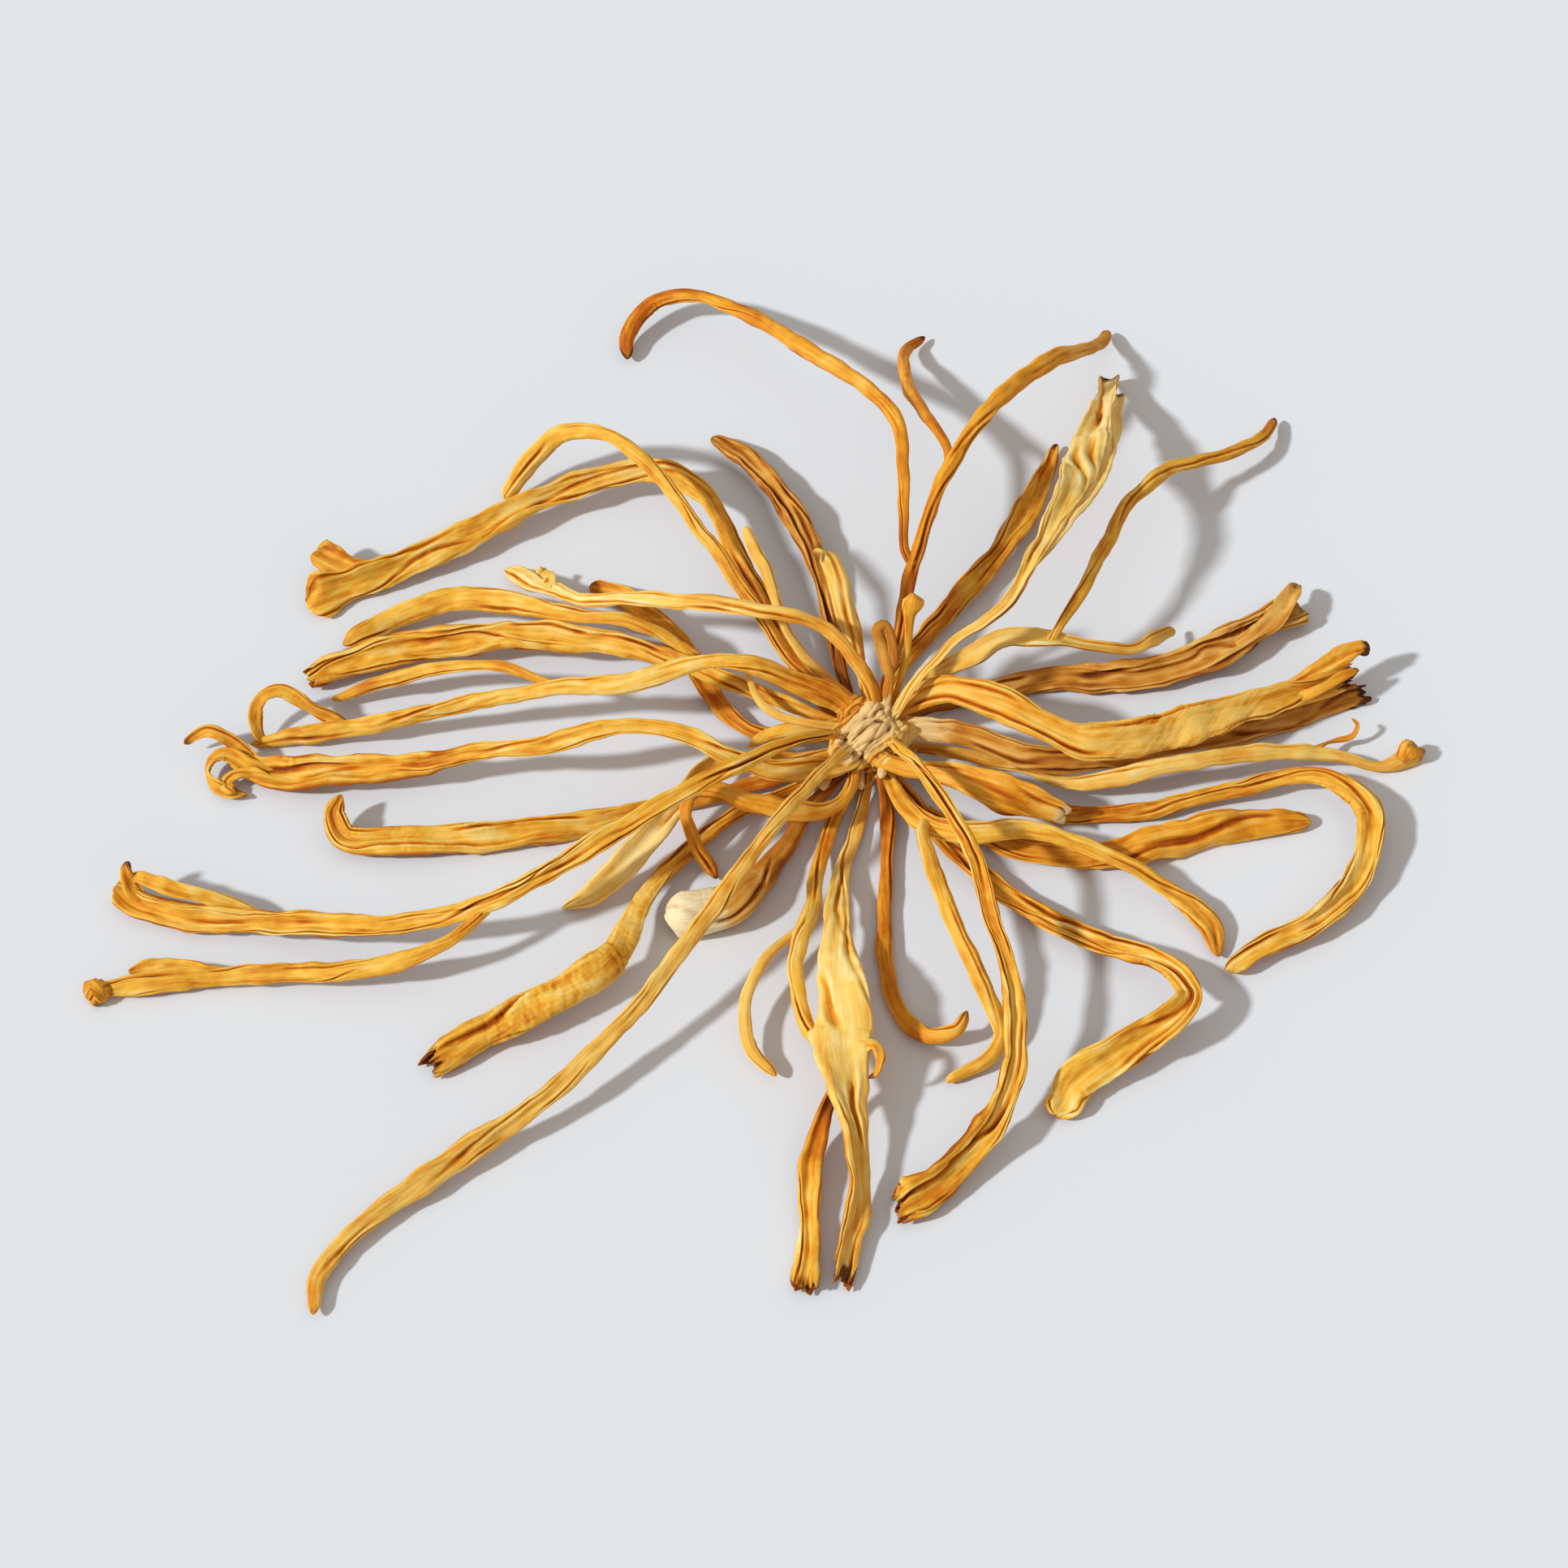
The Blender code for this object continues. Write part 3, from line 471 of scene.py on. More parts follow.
def stemPart(habit):
    dice = np.random.RandomState(habit["seed"])
    off = dice.uniform(0, 200, 8)
    total = routeReach(habit["route"])[-1]
    closed = habit["end"] == "closed"
    tip = habit["tipLength"]
    body = np.linspace(0, total - (tip if closed else 0), max(6, int((total - tip) / sweep["step"])))
    rounding = np.linspace(0, math.pi / 2, 8)[1:]
    places = np.concatenate((body, total - tip + tip * np.sin(rounding))) if closed else body
    path = onRoute(habit["route"], places)
    centres, half = path[:, :3], path[:, 3:] / 2
    share = places / total
    s = places[:, None]

    # nothing strays near the root, where the base holds it
    free = ramp(s, 2, 8) if habit["feltFrom"] > -100 else ramp(s, 0.2, 1.5)
    uneven = noise(s / 7.5, off[0], 0.5) + 0.6 * noise(s / 2.8, off[1], 0.5)
    half = half * (1 + free * habit["swell"] * uneven) * (1 + habit["flare"] * ramp(s, total - 6, total - 0.5))
    kinks = [noise(places / 5.5, off[2] + axis, 0.5) + 0.3 * noise(places / 2.1, off[2] + axis, 4.5)
             for axis in range(3)]
    centres = centres + 0.26 * np.stack(kinks, axis=1) * ramp(places, 3, 8)[:, None]
    turns = along(share, habit["turn"]) + 34 * noise(places / 11, off[3], 0.5) * free[:, 0]
    heading, side, face = stemFrames(centres, places, turns)

    widest = float(half.max())
    sides = int(np.clip(2.6 * math.pi * widest * (0.6 + 0.4 * habit["flat"]) / sweep["facet"],
                        sweep["fewest"], sweep["most"]))
    angle = np.linspace(0, 2 * math.pi, sides, endpoint=False)[None, :]
    across, up = np.cos(angle), np.sin(angle)
    flat = habit["flat"] * (1 + 0.24 * free * noise(s / 9, off[4], 0.5))
    roll = (along(share, habit["roll"]) + 0.3 * noise(places / 9, off[6], 3.5))[:, None] * ramp(s, 4, 9)
    thick = half * flat * (1 - 0.4 * ramp(np.abs(roll), 0.2, 1.4))
    thick = thick * (1 - habit["thinEnd"] * ramp(s, total - 8, total - 1))

    # the section: a squarish oval, drawn in along the middle of both faces, with its edges curled
    middle = 0.22 * noise(s / 9, off[5], 0.5)
    upper = habit["groove"] * bell(across - middle, sweep["grooveSpread"]) * (up > 0)
    under = 0.6 * habit["groove"] * bell(across + middle, 0.5) * (up < 0)
    x = half * np.sign(across) * np.abs(across) ** 0.9
    y = thick * (up - upper + under)
    curl = habit["cup"] * (0.7 + 0.9 * noise(s / 10, off[6], 0.5)) * ramp(s, 4, 9)
    y = y + curl * half * (across ** 2 - 0.4)

    # outward direction in the section
    outX, outY = np.roll(y, -1, 1) - np.roll(y, 1, 1), np.roll(x, 1, 1) - np.roll(x, -1, 1)
    size = np.hypot(outX, outY) + 1e-9
    outX, outY = outX / size, outY / size

    folded = longFolds(habit, dice, angle, s, off[7])
    height = habit["foldDepth"] * thick * folded
    gx, gy = x + off[0], y + off[1]
    ridged = 1 - 2.4 * np.abs(noise(gx / 0.62, gy / 0.62, s / 8))
    fine = 1 - 2.4 * np.abs(noise(gx / 0.33, gy / 0.33, s / 4 + 9))
    patchy = 0.4 + 0.9 * ramp(noise(gx / 2, gy / 2, s / 6 + 20), -0.5, 0.5)
    fibres = habit["fibre"] * (ridged + 0.55 * fine) * ramp(half, 0.3, 1.0) * patchy
    height += fibres
    dents = noise(gx / 1.1, gy / 1.1, s / 1.7) + 0.9 * np.minimum(noise(gx / 1.9, gy / 1.9, s / 3.2 + 7), 0.1)
    small = noise(gx / 0.62, gy / 0.62, s / 0.85 + 31)
    height += habit["pucker"] * (dents + 0.35 * small) * ramp(half, 0.2, 1.2)

    # cross wrinkles: in the zones that the stem names, and inside its bends
    bend = np.gradient(heading, places, axis=0)
    inner = ((bend * side).sum(1)[:, None] * x + (bend * face).sum(1)[:, None] * y)
    waver = 0.5 * noise(gx / 1.6, gy / 1.6, s / 3)
    pleats = np.sin(2 * math.pi * (s / 1.05 + waver))
    height += 0.05 * pleats * ramp(inner, 0.06, 0.3)
    for low, high, size, slant in habit["wrinkles"]:
        zone = ramp(share, low, low + 0.05) * (1 - ramp(share, high - 0.05, high))
        slid = s + slant * x + 0.5 * noise(gx / 1.3, s / 2.4, 6.5)
        lines = 0.5 - 2.0 * np.abs(noise(slid / 1.15, gx / 4.5, gy / 4.5)) + 0.35 * np.sin(slid * 7.6)
        height += size * lines * zone[:, None] * ramp(up, -0.3, 0.4)
    height = np.maximum(height, -0.62 * thick)
    lump = habit["lumps"] * half * noise(gx / 2.4, gy / 2.4, s / 4)
    endShrink = ramp(places, total - 5, total)[:, None]
    lump = lump * (1 + 1.2 * endShrink)
    x, y = x + outX * (height + lump), y + outY * (height + lump)

    rough = 0.3 * (height - habit["foldDepth"] * thick * folded) + 0.7 * fibres
    # painted shade on the undersides, a little painted highlight on the tops and along the flat edges; with the folds
    # and fibres this sets how dark the colour is read
    shade = 0.2 * np.maximum(up, 0) + 0.95 * np.minimum(up, 0) + 0.3 * np.abs(across) ** 8
    relief = np.clip(1.3 * folded + rough / 0.1 + shade, -1.4, 1.3)
    waverEnd = 0.9 * noise(gx / 0.8, gy / 0.8, s / 2.5) + 0.7 * noise(gx / 2, gy / 2, 7.5)
    ends = habit["tipBrown"] * (1 - ramp(total - s + waverEnd, 0.1, habit["brownReach"]))
    for place, reach, amount, aim in habit["stains"]:
        around = (angle - math.radians(aim) + math.pi) % (2 * math.pi) - math.pi
        ends = ends + amount * bell(s - place * total + 0.5 * waverEnd, reach) * bell(around, 0.5)
    shift = np.zeros(x.shape)
    if closed:
        drawnIn = ((s - total + tip) / tip).clip(0)
        rounded = np.sqrt(np.clip(1 - drawnIn ** 2, 0.004, 1)) * (1 - 0.25 * drawnIn)
        x, y = x * rounded, y * rounded
        tear = noise(np.cos(angle) * 1.4 + off[2], np.sin(angle) * 1.4, 0.5)
        shift = 0.28 * habit["jagged"] * half * tear * ramp(s, total - 3.0, total - 0.4) * np.sqrt(rounded)
    else:
        tear = noise(np.cos(angle) * 1.6 + off[2], np.sin(angle) * 1.6, 0.5)
        tear = tear + 0.7 * noise(np.cos(angle) * 5 + off[3], np.sin(angle) * 5, 0.5)
        shift = habit["jagged"] * (tear - 0.4) * ramp(s, total - 3.5, total)

    bow = np.where(np.abs(roll) < 0.02, 0.02, roll) / half

    def rolled(x, y, bow):
        return (1 / bow - y) * np.sin(bow * x), 1 / bow - (1 / bow - y) * np.cos(bow * x)

    def rings(centres, heading, side, face, x, y, shift):
        return (centres[:, None] + side[:, None] * x[..., None] + face[:, None] * y[..., None]
                + heading[:, None] * shift[..., None])

    outer = rolled(x, y, bow)
    points = [rings(centres, heading, side, face, *outer, shift)]
    marks = {"relief": [relief], "ends": [ends], "s": [s * np.ones(x.shape)], "x": [outer[0]], "y": [outer[1]]}
    if not closed:                           # over the torn lip and back down the inside
        depths = np.array([0.0, 0.05, 0.3, 0.7, 1.2, 1.8, 2.6, habit["mouthDepth"]])
        inward = np.array([0.35, 0.8, 1.0, 1.0, 1.0, 1.05, 1.2, 1.5])
        which = np.array([int(np.argmin(np.abs(places - (total - depth)))) for depth in depths])
        thin = habit["wall"] * inward[:, None]
        scale = np.clip(1 - thin / np.maximum(np.hypot(x, y)[which], 0.05), 0.28, 1)
        scaleY = np.minimum(scale, np.clip(1 - thin / np.maximum(thick[which], 0.3), 0.22, 1))
        innerX, innerY = rolled(x[which] * scale, y[which] * scaleY, bow[which])
        fall = np.clip(1 - depths / 2.5, 0, 1)[:, None]
        points.append(rings(centres[which], heading[which], side[which], face[which],
                            innerX, innerY, shift[-1] * fall))
        shade = np.ones((8, sides))
        # the inside of an open end: browned, with painted shade that deepens the further in
        marks["relief"].append(-0.6 * shade)
        marks["ends"].append(np.clip(0.25 + depths[:, None] * 0.9, 0, 1) * shade)
        marks["s"].append(total - depths[:, None] * shade)
        marks["x"].append(innerX * shade)
        marks["y"].append(innerY * shade)
    points = np.concatenate(points)
    marks = {mark: np.concatenate(values) for mark, values in marks.items()}
    count = len(points)
    points = points.reshape(-1, 3)
    points[:, 2] = np.maximum(points[:, 2], 0.0)

    corner = np.arange(count * sides).reshape(count, sides)
    after = np.roll(corner, -1, 1)
    faces = np.stack((corner[:-1], after[:-1], after[1:], corner[1:]), axis=-1).reshape(-1, 4).tolist()
    faces += [corner[0][::-1].tolist(), corner[-1].tolist()]

    s = marks["s"]
    feltOver = 1 - ramp(s, habit["feltFrom"], habit["feltFrom"] + habit["felt"] + 0.01)
    feltOver = feltOver * (habit["felt"] > 0)
    feltOver = np.maximum(feltOver, ramp(s, total - habit["feltEnd"], total - 0.5 * habit["feltEnd"] + 0.01))
    flatMarks = {"relief": marks["relief"], "ends": np.clip(marks["ends"], 0, 1),
                 "felt": np.maximum(feltOver.ravel(), feltNear(points)),
                 "tone": along(s / total, habit["tone"])}
    flatMarks = {mark: values.ravel() for mark, values in flatMarks.items()}
    flatMarks["grain"] = np.stack((marks["x"] + off[0], marks["y"] + off[1], s + off[2]), axis=-1).reshape(-1, 3)
    return {"points": points, "faces": faces, "marks": flatMarks}


def endCurls(habit):
    # routes of the strips that a drying end split into
    dice = np.random.RandomState(habit["seed"] + 500)
    total = routeReach(habit["route"])[-1]
    places = np.array([total - 4.4, total - 3.4, total - 2.4])
    path = onRoute(habit["route"], places)
    heading, side, face = (axes[1] for axes in stemFrames(path[:, :3], places, [habit["turn"][-1]] * 3))
    routes = []
    for count in range(habit["curls"]):
        lean = -0.9 + 1.8 * (count + dice.uniform(0.25, 0.75)) / habit["curls"]
        start = path[0, :3] + side * lean * 0.28 * path[0, 3]
        across = side * (0.8 * lean + dice.uniform(-0.6, 0.6)) + face * dice.uniform(0.0, 1.0)
        reach, width, wave = dice.uniform(5.6, 7.6), dice.uniform(1.2, 1.9), dice.uniform(-0.5, 0.5)
        route = []
        for t in np.linspace(0, 1, 7):
            spot = start + heading * reach * t * (1 - 0.42 * t ** 2) + across * reach * 0.5 * t ** 2.4
            spot = spot + (side * wave + face * 0.3) * math.sin(6 * t) * t
            spot[2] = max(spot[2], 0.5)
            route.append((*spot, width * (0.75 + 0.25 * math.sin(9 * t + count)) * (1 - 0.45 * t ** 3)))
        routes.append({"route": route})
    return routes


rooted = {}                                  # the stems that grow from the base itself


def growStem(node, own):
    habit = {**stemHabit, **own}
    if habit["buried"]:
        habit["route"] = [habit["buried"], *habit["route"]]
        habit["feltFrom"] = -100.0
    else:
        rooted[node] = habit
        habit["feltFrom"] = leavesBase(habit["route"])
    if habit["ending"]:
        habit["route"] = [*habit["route"], habit["ending"]]
    parts = [stemPart(habit)]
    for place, sprig in enumerate([*habit["sprigs"], *endCurls(habit)]):
        twig = {**habit, "feltEnd": 0.0, "wrinkles": (), "stains": (), "groove": 0.4, "flat": 0.4,
                "folds": 3, "cup": 0.35, "roll": (0, 0), "end": "closed", "turn": (0, 50, -30, 40),
                "feltFrom": -100.0, "tipLength": 0.5, "swell": 0.3, "flare": 0.0, "thinEnd": 0.0, "pucker": 0.13,
                "tone": [habit["tone"][-1]] * 2, "seed": habit["seed"] * 31 + place, **sprig}
        parts.append(stemPart(twig))
    return makePiece(node, parts, habit["finish"])


# Long stems to the left
leftLong = {
    "finish": "golden", "seed": 21, "spiral": 0.03, "flat": 0.62, "turn": (20, -15, 25, 0), "folds": 4, "foldDepth": 0.45,
    "cup": 0.06, "tone": (-0.5, -0.2, 0.5, 0.6, 0.4, 0.35, 0.2, 0.1), "tipBrown": 0.3,
    "sprigs": (
        {"route": [
            (-64.6, 2.2, 1.5, 1.5), (-67.8, 3.6, 2.8, 1.8), (-70.9, 4.7, 4.2, 1.7), (-73.6, 6, 5.2, 1.7),
            (-75.9, 5.4, 5, 1.8), (-77.2, 4.1, 3.7, 1.9), (-77, 2.3, 2.1, 1.8), (-76.2, 1, 1, 1.4)]},),
    "wrinkles": ((0.22, 0.34, 0.07, 0.3),),
    "route": [
        (-0.5, 1, 6, 3), (-4, 3, 8.2, 3), (-8.5, 3.5, 10.2, 2.9), (-14.5, 4.5, 12.5, 2.4),
        (-19.5, 5, 13, 2), (-24.5, 4.5, 12, 2.2), (-30, 3.5, 10.5, 2.4), (-39.5, 4, 8.5, 2.1),
        (-49.5, 3.5, 6.3, 2), (-59.5, 2.5, 4.1, 2.3), (-68, 2, 2.2, 2.5), (-74, 1.5, 1.1, 2.2),
        (-78, 1, 0.7, 1.4)]}
growStem("left_long_stem", leftLong)

leftFront = {
    "finish": "golden", "seed": 22, "flat": 0.55, "turn": (0, 10, -10, 0), "groove": 0.35, "folds": 5,
    "tone": (0.1, 0.4, 0.5, 0.4, 0.1, 0.2, 0), "tipBrown": 0.6, "cup": 0.2,
    "sprigs": (
        {"route": [
            (-71.5, -3.4, 1.0, 1.2), (-75.2, -2.9, 1.4, 1.9), (-78.4, -1.3, 2.4, 1.9), (-80.7, 0.1, 3.4, 1.6),
            (-82.9, 0.9, 3.6, 1.5),
            (-84.7, 0.8, 3, 1.3), (-86, 0.2, 2.2, 0.9)], "flat": 0.3},
        {"route": [
            (-71.8, -4.2, 0.9, 1.2), (-75.4, -3.7, 1.2, 1.8), (-78.6, -2.5, 2.1, 1.9),
            (-80.9, -1.8, 2.6, 1.6), (-82.5, -2.8, 2.4, 1.5),
            (-82.8, -4.4, 1.9, 1.5), (-81.6, -5.9, 1.5, 1.6), (-79.7, -6.7, 1.1, 1.4), (-77.5, -6.9, 0.8, 0.9)],
         "flat": 0.3, "turn": (0, 60, -60, 40)},
        {"route": [
            (-71, -5, 0.8, 1.2), (-74.4, -4.9, 1.0, 1.7), (-77.2, -4.3, 1.5, 1.8), (-79.3, -4.5, 1.7, 1.7), (-80.4, -5.6, 1.5, 1.4),
            (-79, -6.9, 1, 1)]}),
    "stains": ((0.93, 1.6, 0.5, 250),),
    "roll": (0, 0, 0, 0, 0.3, 0.9, 1.2, 1.0),
    "route": [
        (-0.5, -3.5, 4.6, 2.2), (-6, -6, 5.4, 2.7), (-12.5, -7, 7, 2.6), (-17.5, -6.5, 9, 2.3),
        (-22.5, -4.5, 10.5, 2.2), (-28.5, -3.5, 10.8, 2.2), (-34, -3.5, 10, 2.4),
        (-40, -4.5, 8.4, 2.6), (-48.5, -4, 6.4, 2.4), (-56, -4.5, 4, 3.2),
        (-63.5, -4.5, 2.5, 4.6), (-71.5, -4.5, 1.8, 5), (-77.5, -3, 1.3, 3.6),
        (-81, -0.5, 1, 1.6)]}
growStem("left_front_stem", leftFront)

leftUpper = {
    "finish": "pale", "seed": 23, "spiral": -0.04, "flat": 0.75, "folds": 3, "foldDepth": 0.4, "tone": (-0.5, 0.2, 0.3, 0.5),
    "lumps": 0.16, "tipBrown": 0.1, "stains": ((0.84, 0.7, 0.5, 100),),
    "sprigs": (
        {"route": [(-40, 22.4, 5, 1.8), (-40.6, 23.6, 6, 1.5), (-41.6, 23.9, 6.1, 0.8)]},
        {"route": [(-42.4, 24.8, 3.4, 1.9), (-41.6, 26.4, 3.6, 1.5), (-41.5, 27.2, 3.2, 0.8)]}),
    "route": [
        (1.3, 2, 7.3, 1.6), (0.3, 3.5, 10, 1.8), (-2, 6, 12.8, 1.8), (-5.5, 9, 14.5, 1.8),
        (-10, 10, 15.5, 1.8), (-16, 11.5, 15.5, 1.9), (-22.5, 13.5, 14, 2), (-29.5, 16, 11.5, 1.8),
        (-35.5, 18, 8.5, 1.8), (-40, 22.5, 5, 2.1), (-43, 25.5, 2.9, 2.7), (-46.5, 28.5, 1, 1.5)]}
growStem("left_upper_stem", leftUpper)

leftLeaf = {
    "finish": "pale", "seed": 24, "flat": 0.4, "turn": (0, 10, -15), "groove": 0.4, "cup": 0.3, "folds": 4,
    "foldDepth": 0.4, "lumps": 0.05, "tone": (-0.6, -0.2, 0.2, 0.6, 0.7, 0.4), "tipBrown": 0.3,
    "roll": (0, 0.3, 0.5, 0.7, 0.4),
    "route": [
        (-1.5, -1.5, 3, 1.6), (-8.5, -3, 3, 1.8), (-15, -3, 3.2, 1.8), (-19.5, -4, 3.8, 2),
        (-23, -10, 4.8, 2.8), (-28, -17, 4.6, 4), (-33, -22, 2.4, 3.4), (-38, -23.5, 0.5, 0.9)]}
growStem("left_leaf_stem", leftLeaf)

leftHooked = {
    "finish": "golden", "seed": 25, "flat": 0.6, "groove": 0.2, "cup": 0.15, "folds": 5,
    "tone": (-0.7, -0.5, -0.2, 0.2, 0.3, 0.3, 0.1), "tipBrown": 0.25,
    "wrinkles": ((0.62, 0.86, 0.05, 0.5),),
    "roll": (0, 0, 0, 0.3, 0.4, 0.5, 1.0),
    "route": [
        (-2, -0.5, 1.3, 1.2), (-5, -1, 1.3, 1.4), (-10, -4, 1.3, 1.8), (-17.5, -6.5, 1.3, 2),
        (-25, -8.5, 1.1, 2.2), (-32.5, -10.5, 1.2, 2.8), (-41.5, -13, 1.4, 3.6), (-51.5, -14, 1.5, 4),
        (-60, -14.5, 1.5, 3.8), (-65, -14, 1.8, 3.2), (-66.5, -11.5, 3, 2.8), (-65.5, -9, 4.2, 1.8)]}
growStem("left_hooked_stem", leftHooked)

leftArch = {
    "finish": "golden", "seed": 26, "flat": 0.75, "folds": 4, "tone": (-0.6, -0.2, 0.2, 0.3, 0.4),
    "tipBrown": 0.2, "lumps": 0.14,
    "route": [
        (-2, 4, 3.8, 1.4), (-6.5, 8.5, 4, 1.5), (-11, 13.5, 4.8, 1.7), (-15, 20, 6.4, 1.8),
        (-20.5, 28, 8.4, 1.9), (-26.5, 36.5, 10.4, 2), (-32.5, 42.5, 11, 2), (-39, 45, 9, 2.2),
        (-43.5, 43.5, 5, 2.5), (-47, 40, 1.3, 1.8)]}
growStem("left_arch_stem", leftArch)

leftBroad = {
    "finish": "orange", "seed": 27, "flat": 0.5, "turn": (0, -20, 10), "groove": 0.3, "cup": 0.25, "folds": 6,
    "tone": (-0.5, 0, 0.3, 0.2), "tipBrown": 0.5,
    "roll": (0, 0.4, 0.9, 0.9, 0.6),
    "route": [
        (-2.5, 1.4, 2.4, 1.4), (-6, 1.5, 1.8, 1.5), (-13, 2, 1.1, 2), (-17.5, 5, 1, 2.5),
        (-20.5, 9.5, 1.4, 3.1), (-23, 14, 2.2, 3.5), (-26.5, 18.5, 2.4, 3.5), (-31, 23, 1.8, 3),
        (-35.5, 26, 1, 2)]}
growStem("left_broad_stem", leftBroad)

leftLow = {
    "finish": "golden", "seed": 60, "spiral": 0.02, "flat": 0.55, "groove": 0.3, "cup": 0.25, "folds": 6, "flare": 0.55, "thinEnd": 0.5,
    "sprigs": (
        {"route": [
            (-86.6, -24.4, 1.2, 2.4), (-89.4, -23.4, 2.2, 2.6), (-90.9, -22.4, 3.8, 2.2), (-91.2, -21.4, 5.3, 1.7),
            (-90.9, -20.6, 6.6, 0.9)], "tipBrown": 1.0, "brownReach": 2.2},
        {"route": [
            (-72.8, -26.6, 1.6, 1.3), (-77.4, -25.1, 3, 1.9), (-82.1, -24.1, 4.2, 2.2), (-86.1, -23.3, 4.8, 2),
            (-89.2, -22.1, 4.8, 1.5), (-90.9, -21.8, 4.6, 0.9)], "turn": (0, 30, -20)}),
    "tone": (-0.2, 0.2, 0.4, 0.3, 0.2, 0.3), "tipBrown": 0.5,
    "roll": (0, 0, 0, 0.3, 0.7, 1.2, 1.2),
    "route": [
        (-3, -1.6, 6.6, 1.2), (-5.6, -3.4, 8.8, 1.3), (-9.5, -6, 11, 1.7), (-18, -11.5, 12.6, 2),
        (-29, -18.5, 12, 2.2), (-40, -25, 9.5, 2.4), (-50, -28.5, 6.8, 2.6), (-60, -29, 4.6, 3),
        (-70, -27.5, 3, 3.6), (-81, -26, 2, 4.2), (-89, -24, 1.8, 4), (-93, -21, 1.4, 2.6)]}
growStem("left_low_stem", leftLow)

leftMiddle = {
    "finish": "golden", "seed": 61, "spiral": -0.02, "flat": 0.55, "turn": (0, 10, -10), "groove": 0.3, "cup": 0.22,
    "folds": 6, "tone": (-0.2, 0.1, 0.3, 0.3, 0.1), "tipBrown": 0.35, "flare": 0.35, "jagged": 0.7,
    "end": "open", "mouthDepth": 2.6, "thinEnd": 0.2,
    "roll": (0, 0, 0.3, 0.7, 1.0, 0.8),
    "route": [
        (-3.2, 1.5, 4.2, 1.3), (-6, 2.7, 4.2, 1.5), (-10, 4.6, 4.3, 1.9), (-18, 8.5, 4.6, 2.2),
        (-28, 12.5, 5, 2.6), (-38, 15, 4.6, 3.4), (-48, 15.8, 3.6, 4.2), (-58, 15, 2.4, 4.4),
        (-66, 12.8, 1.8, 3.6), (-71, 10.5, 1.3, 2)]}
growStem("left_middle_stem", leftMiddle)

leftFork = {
    "finish": "golden", "seed": 62, "flat": 0.65, "folds": 5, "tone": (0.1, 0.2, 0.3, 0.1),
    "tipBrown": 0.5, "buried": (-21.5, 10.6, 5.0, 1.2),
    "route": [
        (-24.8, 13.3, 6.2, 1.2), (-30, 15.6, 7.2, 1.6), (-36.5, 16.6, 6.6, 1.8), (-43, 19.5, 5.2, 2.6),
        (-51, 21.5, 3.8, 3.2), (-58, 21, 2.6, 3.2), (-64, 18.5, 1.6, 2.6), (-67, 16.5, 1, 1.5)]}
growStem("left_fork_stem", leftFork)

leftStrap = {
    "finish": "golden", "seed": 63, "spiral": 0.02, "flat": 0.5, "turn": (0, 10, -10, 5), "groove": 0.3, "cup": 0.18,
    "folds": 5, "tone": (-0.6, -0.5, -0.1, 0.4, 0.5, 0.3, 0.1), "tipBrown": 0.2, "flare": 0.95,
    "jagged": 2.2, "thinEnd": 0.55,
    "sprigs": (
        {"route": [(-61.5, 27.6, 1.8, 2), (-65.5, 27.3, 2.7, 3.2), (-68.6, 28.2, 3.3, 3.9), (-71, 29.6, 3.3, 3.4)],
         "tipBrown": 0.4, "jagged": 2.2, "turn": (0, 5), "flat": 0.26, "cup": 0.15},),
    "roll": (0, 0, 0.3, 0.7, 0.5, 0.5, 0.4),
    "route": [
        (-2.2, 3, 1.4, 1.2), (-4.4, 5.2, 1.3, 1.3), (-8, 11, 1.5, 1.8), (-12.5, 20, 2.6, 2.2),
        (-17, 30, 4, 2.4), (-21, 38, 4.8, 2.8), (-27, 42, 4.8, 3.4), (-35, 41, 4.4, 3.6),
        (-44, 37, 3.6, 3.6), (-53, 32, 2.7, 3.8), (-61, 28, 2.2, 4.2), (-68, 25, 1.8, 4),
        (-72, 23, 1.4, 2.6)]}
growStem("left_strap_stem", leftStrap)

leftSide = {
    "finish": "golden", "seed": 64, "flat": 0.75, "folds": 3, "tone": (0.2, 0.2, 0),
    "tipBrown": 0.4, "buried": (-38.5, 4.2, 8.7, 1.1),
    "route": [
        (-41.3, 5.6, 8.3, 1.1), (-46, 8, 7.8, 1.4), (-54, 9.4, 5.4, 1.6), (-62, 8.6, 3, 1.8),
        (-68, 7.4, 1.4, 1.4)]}
growStem("left_side_stem", leftSide)

leftTail = {
    "finish": "golden", "seed": 65, "spiral": 0.05, "flat": 0.6, "folds": 5, "tone": (0.1, 0.2, 0.2, 0),
    "tipBrown": 0.25, "flare": -0.25, "buried": (-45.5, -27.2, 7.9, 1.3), "lumps": 0.18,
    "sprigs": (
        {"route": [
            (-76, -34.2, 1.6, 1.5), (-82, -33.2, 2, 1.8), (-87.5, -32.8, 1.8, 1.8), (-90.5, -33.4, 1.4, 1.2)],
         "pucker": 0.16},
        {"route": [(-92.4, -36, 1.3, 1.6), (-94.1, -36.4, 1.4, 2.8), (-95.6, -36.7, 1.2, 2.3)],
         "flat": 0.85, "pucker": 0.07, "groove": 0.1}),
    "route": [
        (-48.5, -30.1, 7, 1.3), (-53, -33, 5.6, 1.8), (-60, -34.5, 3.8, 2.3), (-71, -34.5, 2.2, 2.4),
        (-81, -34.5, 1.6, 2.6), (-90, -35.5, 1.4, 2.8), (-95, -36.5, 1.1, 1.8)]}
growStem("left_tail_stem", leftTail)
print("left stems grown")

# Short stems on the left
shortLeft = {
    "finish": "golden", "seed": 28, "flat": 0.7, "folds": 3, "tone": (0, 0.4, 0.3), "tipBrown": 0.2,
    "lumps": 0.2,
    "route": [
        (-2.5, 0, 5, 1.5), (-6, 0, 5.8, 1.6), (-9.5, -0.5, 6, 1.7), (-12.5, -1, 5.6, 1.7),
        (-15, -2.5, 5, 1.2)]}
growStem("short_left_stem", shortLeft)

